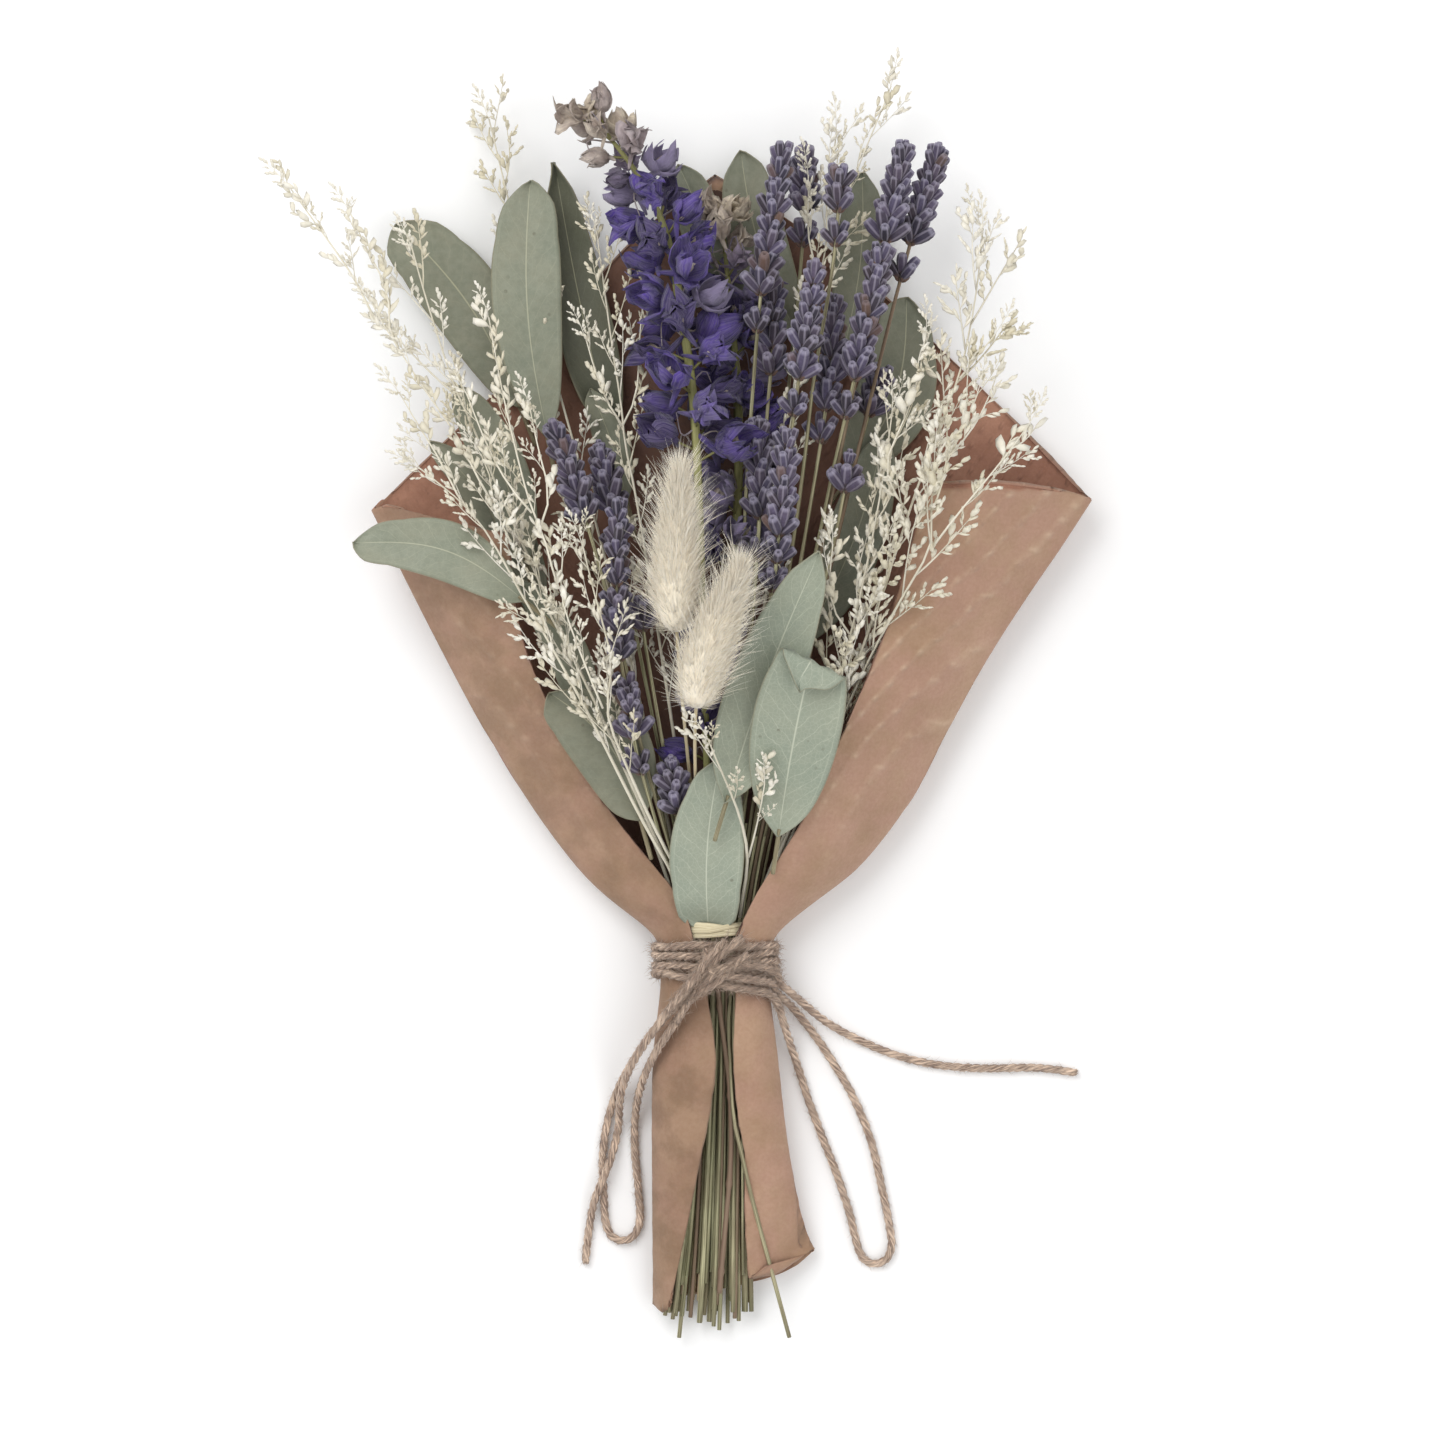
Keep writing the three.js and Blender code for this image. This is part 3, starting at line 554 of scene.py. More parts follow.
def make_fibres():
    """Fine streaks along v of a uv map, from 0 to 1."""
    inputs = [("Vector", "Vector", 0), ("Across", "Float", 12.0), ("Along", "Float", 0.6)]
    tree, net, given, result = effect("fibres", inputs)
    parts = net.split(given["Vector"])
    turn = net.times(parts["X"], 2 * math.pi)
    round_x = net.times(net.maths("COSINE", turn), given["Across"])
    round_y = net.times(net.maths("SINE", turn), given["Across"])
    run = net.times(parts["Y"], given["Along"])
    spot = net.add("CombineXYZ", {"X": round_x, "Y": round_y, "Z": run})
    wired = {"Vector": spot.outputs["Vector"], "Scale": 1.0, "Detail": 3.0, "Roughness": 0.6}
    cloud = net.add("TexNoise", wired)
    net.wire(net.band(cloud.outputs["Fac"], 0.32, 0.68), result)
    return tree


MOTTLE = make_mottle()
FIBRES = make_fibres()


def material(name, **constants):
    made = bpy.data.materials.new(name)
    made.use_nodes = True
    shader = made.node_tree.nodes["Principled BSDF"]
    for key, value in constants.items():
        shader.inputs[key.replace("_", " ")].default_value = value
    return made, Net(made.node_tree), shader


def dress(net, shader, base, rough=None, height=None, bump=0.3, reach=0.2 * MM):
    net.wire(base, shader.inputs["Base Color"])
    if rough is not None:
        net.wire(rough, shader.inputs["Roughness"])
    if height is not None:
        relief = net.add("Bump", {"Height": height, "Strength": bump, "Distance": reach})
        net.wire(relief.outputs["Normal"], shader.inputs["Normal"])


def make_lavender():
    """Ribbed slate violet buds, with a painted highlight along the ribs, pale at the mouth and brown at the
    foot.
    """
    made, net, shader = material("lavender_bud", Sheen_Weight=0.15, Sheen_Roughness=0.5)
    run = net.run()
    parts = net.split(run)
    tone = net.attribute("tone")
    rib = net.maths("COSINE", net.times(parts["X"], 2 * math.pi * 5))
    rib = net.band(rib, 0.1, 1.0)
    patch = net.mottle(1100.0, 0.22)
    body = net.mix(tone, colour(30, 28, 46), colour(88, 80, 110))
    body = net.tint(body, patch, 0.45, (60, 54, 66))
    # painted highlight: the ribs are lightened along their ridges
    body = net.tint(body, rib, 0.5, (160, 153, 170))
    foot = net.minus(1.0, net.band(parts["Y"], 0.0, 0.28))
    body = net.tint(body, foot, 0.8, (104, 84, 76))
    mouth = net.band(parts["Y"], 0.82, 0.97)
    body = net.tint(body, mouth, 0.5, (168, 163, 184))
    body = net.mix(net.attribute("fade"), body, colour(110, 84, 68))
    dress(net, shader, body, net.spread(patch, 0.6, 0.9), rib, 0.6, 0.25 * MM)
    return made


def make_stem(name, dark, light, brown):
    """A dry stalk with pale streaks along it, partly its own ridges and partly painted highlight; fade turns
    it woody brown.
    """
    made, net, shader = material(name)
    run = net.run()
    streak = net.fibres(run, 1.9, 0.4)
    patch = net.mottle(120.0, 0.25)
    # the light colour of the streaks is partly a painted highlight
    body = net.mix(streak, dark, light)
    body = net.mix(net.times(net.attribute("tone"), 0.66), body, dark)
    body = net.mix(net.times(patch, 0.25), body, brown)
    body = net.mix(net.attribute("fade"), body, brown)
    dress(net, shader, body, net.spread(streak, 0.6, 0.85), streak, 0.35, 0.2 * MM)
    return made


def make_larkspur():
    """Crumpled deep violet petals with pale veins, fading to taupe at the tip of the stalk."""
    made, net, shader = material("larkspur_petal", Sheen_Weight=0.2, Sheen_Roughness=0.4)
    run = net.run()
    streak = net.fibres(run, 4.0, 1.2)
    patch = net.mottle(240.0, 0.16)
    tone = net.attribute("tone")
    body = net.mix(patch, colour(40, 27, 90), colour(84, 63, 148))
    body = net.tint(body, net.band(tone, 0.7, 0.76), 0.85, (140, 130, 156))
    body = net.tint(body, net.band(tone, 0.3, 0.16), 0.7, (38, 28, 62))
    body = net.tint(body, streak, 0.32, (160, 148, 180))
    faded = net.mix(patch, colour(172, 154, 132), colour(232, 218, 190))
    faded = net.tint(faded, streak, 0.3, (142, 126, 128))
    body = net.mix(net.attribute("fade"), body, faded)
    dress(net, shader, body, net.spread(patch, 0.6, 0.9), streak, 0.6, 0.35 * MM)
    return made


def make_statice():
    made, net, shader = material("bleached_statice", Roughness=0.8, Sheen_Weight=0.2)
    patch = net.mottle(420.0, 0.22)
    run = net.run()
    streak = net.fibres(run, 2.0, 1.0)
    body = net.mix(net.attribute("tone"), colour(222, 214, 190), colour(247, 243, 232))
    body = net.tint(body, patch, 0.3, (204, 194, 164))
    body = net.mix(net.attribute("fade"), body, colour(150, 140, 104))
    dress(net, shader, body, net.spread(patch, 0.7, 0.9), streak, 0.3, 0.15 * MM)
    return made


def make_grass():
    made, net, shader = material("bunny_tail_hair", Roughness=0.75, Sheen_Weight=1.0, Sheen_Roughness=0.5)
    patch = net.mottle(200.0, 0.25)
    body = net.mix(net.attribute("tone"), colour(252, 238, 212), colour(255, 251, 238))
    body = net.tint(body, patch, 0.25, (250, 232, 202))
    body = net.mix(net.attribute("fade"), body, colour(214, 198, 166))
    dress(net, shader, body, None, patch, 0.2, 0.3 * MM)
    return made


def make_leaf():
    """A waxy grey green leaf: thin pale midrib, faint side veins, a fine net and small dark flecks."""
    made, net, shader = material("eucalyptus_leaf", Sheen_Weight=0.08)
    run = net.run()
    parts = net.split(run)
    spot = net.place()
    tone = net.attribute("tone")
    wander = net.add("TexNoise", {"Vector": spot, "Scale": 110.0, "Detail": 3.0}).outputs["Fac"]
    wander = net.times(net.minus(wander, 0.5), 1.5)
    across = net.size_of(net.minus(net.times(parts["X"], 2.0), 1.0))
    along = parts["Y"]
    side = net.minus(net.times(along, 12.0), net.times(across, 2.4))
    side = net.maths("FRACT", net.plus(net.plus(side, wander), 20.0))
    side = net.size_of(net.minus(side, 0.5))
    side = net.times(net.band(side, 0.455, 0.497), net.band(across, 0.92, 0.84))
    rim = net.size_of(net.minus(net.plus(across, net.times(wander, 0.05)), 0.87))
    rim = net.band(rim, 0.02, 0.004)
    midrib = net.band(across, 0.03, 0.008)
    cells = net.add("TexVoronoi", {"Vector": spot, "Scale": 760.0}, feature="DISTANCE_TO_EDGE")
    fine = net.band(cells.outputs["Distance"], 0.09, 0.01)
    veins = net.plus(net.times(side, 0.5), net.times(rim, 0.3), capped=True)
    veins = net.plus(veins, net.times(fine, 0.24), capped=True)
    veins = net.times(veins, net.plus(net.times(tone, 0.75), 0.12))
    veins = net.maths("MAXIMUM", veins, net.times(midrib, 0.9))
    patch = net.mottle(60.0, 0.2, spot)
    bloom = net.mottle(500.0, 0.2, spot)
    body = net.mix(tone, colour(112, 114, 94), colour(140, 150, 134))
    worn = net.mix(tone, colour(138, 134, 114), colour(154, 160, 142))
    body = net.mix(net.times(patch, 0.8), body, worn)
    body = net.tint(body, bloom, 0.2, (166, 170, 152))
    body = net.mix(net.attribute("fade"), body, colour(78, 80, 64))
    pale = net.mix(tone, colour(176, 172, 140), colour(206, 210, 190))
    body = net.mix(net.times(veins, 0.7), body, pale)
    specks = net.add("TexVoronoi", {"Vector": spot, "Scale": 150.0, "Randomness": 1.0}, feature="F1")
    speck = net.times(net.band(specks.outputs["Distance"], 0.1, 0.05), bloom)
    body = net.tint(body, speck, 0.55, (84, 76, 56))
    edge = net.band(across, 0.955, 1.0)
    body = net.tint(body, edge, 0.45, (142, 132, 104))
    dress(net, shader, body, net.spread(patch, 0.5, 0.7), veins, 0.35, 0.2 * MM)
    return made


MAIN_RIDGE = (-0.92, 4.4)  # the slope and the pitch in mm of the embossed ridges
CROSS_RIDGE = (0.8, 5.0)


def make_paper():
    """Embossed kraft paper: warm brown outside with diagonal ridges whose crests are paler, partly rubbed and
    partly painted highlight; redder inside, with painted shade on the inside towards the stems, and stains
    mixed with painted shade darkening the left flap and the skirt.
    """
    made, net, shader = material("embossed_kraft", Sheen_Weight=0.1, Sheen_Roughness=0.6)
    spot = net.place()
    sheet = net.split(net.run())
    sway = net.add("TexNoise", {"Vector": spot, "Scale": 120.0, "Detail": 2.0}).outputs["Fac"]
    sway = net.times(net.minus(sway, 0.5), 0.35)

    def ridge(slope, pitch, low, high):
        """Lines across the sheet, whose map is in centimetres and their pitch in mm."""
        across = net.times(sheet["X"], math.sin(slope) / (pitch / 10))
        run = net.plus(across, net.times(sheet["Y"], math.cos(slope) / (pitch / 10)))
        run = net.maths("FRACT", net.plus(net.plus(run, sway), 50.0))
        run = net.size_of(net.minus(run, 0.5))
        return net.band(run, low, high)

    main = ridge(*MAIN_RIDGE, 0.3, 0.5)
    cross = ridge(*CROSS_RIDGE, 0.2, 0.5)
    cloud = net.mottle(42.0, 0.22, spot)
    blush = net.mottle(75.0, 0.16, spot)
    grain = net.mottle(1000.0, 0.2, spot)
    worn = net.mottle(170.0, 0.12, spot)
    crest = net.times(main, net.plus(net.times(cross, 0.65), 0.35))
    crest = net.times(crest, net.attribute("crisp"))
    stain_and_shade_patches = net.mottle(110.0, 0.14, spot)
    outside = net.mix(cloud, colour(158, 126, 98), colour(182, 148, 122))
    outside = net.tint(outside, blush, 0.5, (182, 140, 124))
    # painted shade mixed with stains: the outside is darkened in patches, most on the left flap and a little
    # more on the skirt
    stain_and_shade = net.times(net.attribute("stain_and_shade"), net.plus(net.times(stain_and_shade_patches, 0.4), 0.4))
    outside = net.mix(stain_and_shade, outside, colour(120, 94, 70))
    inside = net.mix(cloud, colour(150, 104, 84), colour(186, 138, 114))
    # painted shade: the inside is darkened towards the middle of the wrap, where the stems would shade it
    inside = net.mix(net.attribute("deep"), inside, colour(70, 46, 38))
    body = net.mix(net.attribute("inner"), outside, inside)
    body = net.tint(body, grain, 0.16, (136, 102, 80))
    # the pale crest colour is partly rubbed wear and partly a painted highlight on the embossed ridges
    rub_and_highlight = net.times(crest, net.plus(net.times(worn, 0.8), 0.12))
    rub_and_highlight = net.times(rub_and_highlight, net.minus(1.0, net.attribute("inner")))
    body = net.tint(body, rub_and_highlight, 0.42, (216, 190, 162))
    height = net.plus(net.times(grain, 0.12), crest)
    dress(net, shader, body, net.spread(grain, 0.7, 0.9), height, 0.8, 0.5 * MM)
    return made


def make_twine():
    made, net, shader = material("jute_twine", Sheen_Weight=0.3)
    run = net.run()
    streak = net.fibres(run, 1.8, 2.2)
    patch = net.mottle(150.0, 0.25)
    body = net.mix(streak, colour(112, 88, 76), colour(240, 214, 190))
    body = net.tint(body, patch, 0.25, (164, 136, 120))
    body = net.tint(body, net.attribute("tone"), 0.45, (220, 194, 172))
    dress(net, shader, body, net.spread(streak, 0.75, 0.95), streak, 0.7, 0.3 * MM)
    return made


def make_raffia():
    made, net, shader = material("raffia_straw", Sheen_Weight=0.2)
    run = net.run()
    streak = net.fibres(run, 2.6, 0.3)
    body = net.mix(streak, colour(206, 190, 146), colour(244, 234, 202))
    body = net.tint(body, net.attribute("tone"), 0.3, (150, 130, 92))
    dress(net, shader, body, net.spread(streak, 0.4, 0.6), streak, 0.5, 0.2 * MM)
    return made


def make_floor():
    made, net, shader = material("pale_table", Roughness=0.9)
    patch = net.mottle(8.0, 0.4)
    dress(net, shader, net.mix(patch, colour(250, 250, 250), colour(254, 254, 254)))
    return made


LAVENDER = make_lavender()
# each stem's light colour is partly painted highlight along its streaks
GREEN_STEM = make_stem("green_stem", colour(94, 95, 64), colour(238, 236, 190), colour(130, 104, 88))
LARKSPUR_STEM = make_stem("larkspur_stem", colour(132, 134, 80), colour(178, 178, 122), colour(120, 104, 66))
STRAW_STEM = make_stem("straw_stem", colour(206, 188, 148), colour(238, 228, 200), colour(176, 150, 104))
LARKSPUR = make_larkspur()
STATICE = make_statice()
GRASS = make_grass()
LEAF = make_leaf()
PAPER = make_paper()
JUTE = make_twine()
RAFFIA = make_raffia()


# ---------- small stock ----------
def make_bud():
    """A lavender bud: a plump five ribbed cup with a small hollow mouth."""
    levels = [(0, 0.42), (0.5, 0.78), (1.6, 1.12), (3.2, 1.24), (4.4, 1.08), (5.0, 0.8)]
    piece = raised("bud", 10, levels, mouth=(0.5, 0.42))

    def rib(x, y, z):
        angle, r = math.atan2(y, x), math.hypot(x, y)
        swell = 1 + 0.09 * math.cos(5 * angle) * min(1, z / 1.2)
        lip = 0.3 * math.cos(5 * angle) if z > 4.8 else 0
        return r * swell * math.cos(angle), r * swell * math.sin(angle), z + lip

    return stock_of(shape_points(piece, rib))


GRIP = 0.25  # how wide a petal's foot is, as a share of its greatest width


def make_petal(long, wide, cup, curl, seed):
    """A thin dry petal on the y axis, crumpled, closed on both faces."""
    deselect()
    bpy.ops.mesh.primitive_grid_add(x_subdivisions=5, y_subdivisions=7, size=2 * MM, calc_uvs=True)
    piece = bpy.context.object

    def shape(x, y, z):
        t = (y + 1) / 2
        bulge = math.sin(math.pi * min(1, 0.08 + t * 0.9)) ** 0.7
        half = wide * (GRIP + (1 - GRIP) * bulge) * (1 - 0.45 * t**6)
        crumple = ripple(x * 1.9 + seed, t * 3.2, seed * 0.7) * 0.44 * long * t
        crumple += ripple(x * 4 + seed, t * 6, seed) * 0.15 * long * t
        rise = cup * x * x * (0.6 + t) + crumple
        bend = curl * t
        return x * half, long * t * math.cos(bend * 0.6), rise + long * t * math.sin(bend * 0.6)

    shape_points(piece, shape)
    finish_modifier(piece, "SOLIDIFY", thickness=0.16 * MM, offset=0)
    return stock_of(piece, keep_uv=True)


def make_flower(seed, spread, long=8.0):
    """A larkspur flower on the z axis, as its outer petals with the spur and its pale middle."""
    outer, middle = [], []
    for k in range(5):
        size = long * (1 + 0.16 * math.sin(seed * 5 + k * 2.3))
        petal = make_petal(size, size * 0.42, 1.5, 0.9, seed + k * 1.7)
        turn = Matrix.Rotation(k * 2 * math.pi / 5 + 0.3 * math.sin(seed + k), 4, "Z")
        lift = Matrix.Rotation(math.pi / 2 - spread - 0.35 * math.sin(seed * 3 + k * 2), 4, "X")
        outer.append(petal.moved(Matrix.Translation((0, 0, 0.6 * MM)) @ turn @ lift))
    for k in range(3):
        petal = make_petal(long * 0.52, long * 0.15, 0.8, 0.3, seed + 9 + k)
        turn = Matrix.Rotation(k * 2.1 + 0.5, 4, "Z")
        middle.append(petal.moved(Matrix.Translation((0, 0, 1.2 * MM)) @ turn @ Matrix.Rotation(1.2, 4, "X")))
    spur = stock_of(raised("spur", 6, [(0, 0.3), (1.5, 0.6), (5.0, 0.9), (7.6, 0.7), (8.6, 0.3)]))
    place = Matrix.Translation((0, -5.4 * MM, -2.2 * MM)) @ Matrix.Rotation(-1.1, 4, "X")
    outer.append(spur.moved(place))
    return bundle(outer), bundle(middle)


def make_floret():
    """One bleached statice flower: a slender flattened pod that ends in ragged points."""
    pod = raised("floret", 5, [(0, 0.14), (0.9, 0.62), (2.1, 0.86), (3.2, 0.55)])

    def points(x, y, z):
        lip = 0.75 * math.cos(2.0 * math.atan2(y, x) + 0.7) if z > 2.9 else 0
        return x * 1.25 + 0.05 * z * z, y * 0.62, z + lip

    return stock_of(shape_points(pod, points))


def curved_twig(long, bow, r0, r1, seed, steps=5):
    """The line and the bar of a thin twig that rises along z and bends towards x, sizes in mm."""
    points = []
    for t in np.linspace(0, 1, steps):
        points.append([bow * t * t * long, 0.06 * long * math.sin(seed + 3 * t) * t, long * t])
    line = np.array(points) * MM
    return line, bar(line, np.linspace(r0, r1, steps) * MM, 3)


def on_twig(line, t):
    """The point at a share t of a twig, and the way it runs there."""

    def spot(share):
        return np.array([np.interp(share, np.linspace(0, 1, len(line)), line[:, c]) for c in range(3)])

    way = spot(min(t + 0.1, 1)) - spot(max(t - 0.1, 0))
    return spot(t), way / np.linalg.norm(way)


def make_spikelet(seed, long):
    """A short twig of statice, with its flowers pressed close to it and mostly on one side."""
    dice = random.Random(seed)
    line, twig = curved_twig(long, dice.uniform(0.1, 0.35), 0.2, 0.12, seed)
    parts, count = [twig], max(4, int(long / 1.35))
    for k in range(count):
        t = 0.16 + 0.84 * k / (count - 1)
        at, way = on_twig(line, t)
        lean = dice.uniform(0.3, 0.62) if k % 3 else -dice.uniform(0.15, 0.45)
        out = Matrix.Rotation(lean, 3, "Y") @ Vector(way)
        out.y += dice.uniform(-0.3, 0.3)
        size = dice.uniform(0.9, 1.35) * (1 - 0.3 * t)
        parts.append(FLORET.moved(stand(at, out, size, dice.uniform(0, 6))))
    return bundle(parts)


def make_shoot(seed, long):
    """A side shoot of statice: a bare bent twig that forks into spikelets towards its end."""
    dice = random.Random(seed)
    line, twig = curved_twig(long, dice.uniform(-0.05, 0.3), 0.3, 0.15, seed, 6)
    parts, hand, t = [twig], 1, dice.uniform(0.22, 0.34)
    while t < 0.97:
        at, way = on_twig(line, t)
        lean = hand * dice.uniform(0.4, 0.72)
        out = Matrix.Rotation(lean, 3, "Y") @ Vector(way)
        out.y += dice.uniform(-0.35, 0.35)
        place = stand(at, out, dice.uniform(0.75, 1.1) * (1.05 - 0.35 * t))
        spikelet = dice.choice(SPIKELETS)
        parts.append(spikelet.moved(place @ Matrix.Rotation(0 if hand > 0 else math.pi, 4, "Z")))
        t += dice.uniform(0.12, 0.2)
        hand = -hand if dice.random() < 0.75 else hand
    parts.append(SPIKELETS[0].moved(stand(line[-1], line[-1] - line[-2], 0.8)))
    return bundle(parts)


def make_hair(name, long, thick, bow):
    """A three sided hair that thins towards its tip and bends towards x, sizes in mm."""
    levels = [(long * t, thick * share) for t, share in ((0, 1), (0.35, 0.85), (0.7, 0.55), (1, 0.12))]
    piece = raised(name, 3, levels)
    return stock_of(shape_points(piece, lambda x, y, z: (x + bow * (z / long) ** 2, y, z)))


BUD = make_bud()
BRACT = stock_of(raised("bract", 5, [(0, 0.3), (0.8, 0.62), (2.0, 0.4), (2.8, 0.05)]))
FLOWERS = [make_flower(2.0, 1.1), make_flower(5.3, 0.85), make_flower(8.1, 1.3), make_flower(4.4, 1.0)]
CLOSED = [make_flower(3.7, 0.22, 8.6), make_flower(6.9, 0.34, 8.2)]
FLORET = make_floret()
SPIKELETS = [make_spikelet(s, long) for s, long in ((1, 5.0), (2, 6.5), (3, 8.0), (4, 5.8), (5, 7.2))]
SHOOTS = [make_shoot(s, long) for s, long in ((11, 15), (12, 18), (13, 21), (14, 16), (15, 19))]
HAIR = make_hair("hair", 7.5, 0.085, 1.2)
AWN = make_hair("awn", 14.5, 0.1, 2.4)
FIBRE = make_hair("fibre", 3.6, 0.075, 1.1)


# ---------- lavender ----------
BROWNED = 0.06  # the share of the buds that have dried brown


def whorl(parts, stem, s, turn, size, tilt_scale, buds):
    """A ring of buds in two tiers, with short brown bracts under it."""
    for k in range(buds):
        upper = k % 2
        tilt = (0.78, 0.42)[upper] * tilt_scale * vary(0.85, 1.15)
        where = turn + k * 2 * math.pi / buds + vary(-0.15, 0.15)
        foot = s + (0, 1.3)[upper] * MM
        at = stem.at(foot) + stem.outward(foot, where, math.pi / 2) * 0.5 * MM
        faded = vary(0.4, 0.8) if chance.random() < BROWNED else vary(0, 0.15)
        big = size * vary(0.88, 1.12)
        place = stand(at, stem.outward(foot, where, tilt), big, vary(0, 6), vary(0.88, 1.12))
        parts.append((BUD, place, chance.random(), faded, LAVENDER))
    for k in range(4):
        where = turn + k * math.pi / 2 + 0.3
        at = stem.at(s - 0.9 * MM) + stem.outward(s, where, math.pi / 2) * 0.5 * MM
        place = stand(at, stem.outward(s, where, 0.8), vary(0.7, 1.1))
        parts.append((BRACT, place, chance.random(), 0.9, LAVENDER))


TWIG = [
    (0.6, -8, 15.4), (1.4, -17, 15.2), (3.8, -36, 14.4), (4.4, -51, 13.6),
    (4.0, -62, 12.4), (3.2, -71, 11.9), (2.4, -80, 10.9), (1.2, -93.5, 8.8),
]


def woody_twig():
    """A bare brown twig among the stems, with a knot every sixteenth step."""
    line = smooth_line([from_tie(*q) for q in TWIG], 1.5 * MM)
    radii = []
    for k in range(len(line)):
        radii.append((0.72 + 0.22 * max(0, ripple(k / 3.4, 1, 4)) + (0.3 if k % 16 == 5 else 0)) * MM)
    return bar(line, np.array(radii), 7), None, 0.3, 0.9, GREEN_STEM


def lay_over_paper(stem):
    """Sets the foot of a stem that strays out of the bundle and lies over the paper."""
    below = (TIE.y - stem.line[:, 1]) / MM
    low = below > 4
    beside = np.interp(below[low], (4, 20, 46, 66, 108), (5.0, 3.6, 5.0, 9.6, 20.8))
    stem.line[low, 0] = TIE.x + beside * MM
    heights = (14, 14.2, 16.2, 15.9, 14.4, 12.4, 9.6, 5.6)
    stem.line[low, 2] = np.interp(below[low], (4, 20, 50, 57, 66, 76, 90, 108), heights) * MM


def lavender(node, crowded, stray=0.0):
    """A spike on its stem, with two bare stems beside it that fill the bundle."""
    line = courses(node)[0]
    line[0, 1] -= vary(-6, 5) * MM
    head = 1.9 * MM
    stem = Stem(line, head, stray + vary(-2.2, 2.2))
    if stray:
        lay_over_paper(stem)
    woody = chance.random() < 0.2
    brown = 0.8 if woody else vary(0, 0.25)
    stalk = stem.piece(0, stem.end - 3 * MM, 0.58 * MM, 0.48 * MM)
    parts = [(stalk, None, chance.random(), brown, GREEN_STEM)]
    for beside in (-1.1, 1.1):
        shift = np.array([beside, 0, vary(-0.4, 0.9), 0]) * MM
        side = Stem(line + shift, head, stray * 0.1)
        side.line[:, 0] += np.clip((TIE.y - side.line[:, 1]) / FEET, 0, 1) * vary(-1.6, 1.6) * MM
        shape = side.piece(vary(0, 12) * MM, side.run[-1] * 0.42, 0.46 * MM, 0.4 * MM, 5)
        parts.append((shape, None, chance.random(), chance.choice((0, 0.1, 0.7)), GREEN_STEM))
    if node == "lavender_10":
        parts.append(woody_twig())
    long = stem.end - stem.start
    if chance.random() < 0.7:
        whorl(parts, stem, stem.start - vary(7, 11) * MM, 1.0, 1.1, 1.0, 6)
    s, turn = stem.start + 0.6 * MM, vary(0, 6)
    while s < stem.end - 5.0 * MM:
        t = (s - stem.start) / long
        size = (1.3 - 0.36 * t) * vary(0.96, 1.05)
        whorl(parts, stem, s, turn, size, 1.08 - 0.45 * t, 8 if t < 0.8 else 6)
        gap = (7.0 - 2.6 * t) if not crowded else (5.6 - 1.5 * t)
        s += gap * vary(0.9, 1.1) * MM
        turn += 0.5
    for k in range(6):
        foot = stem.end - (5.0 if k else 4.2) * MM
        way = stem.outward(foot, turn + k * 1.25, 0.32 if k else 0.02)
        parts.append((BUD, stand(stem.at(foot), way, 0.8, k, 0.95), chance.random(), 0.05, LAVENDER))
    assemble(node + "_spike", parts, [GREEN_STEM, LAVENDER], "lavender", node)


CROWDED = {1, 3, 4, 5, 6, 7, 12, 14, 15, 17}  # the spikes whose whorls stand close together
STRAY = 9
for number in range(1, 20):
    lavender("lavender_%02d" % number, number in CROWDED, 12.0 if number == STRAY else 0.0)


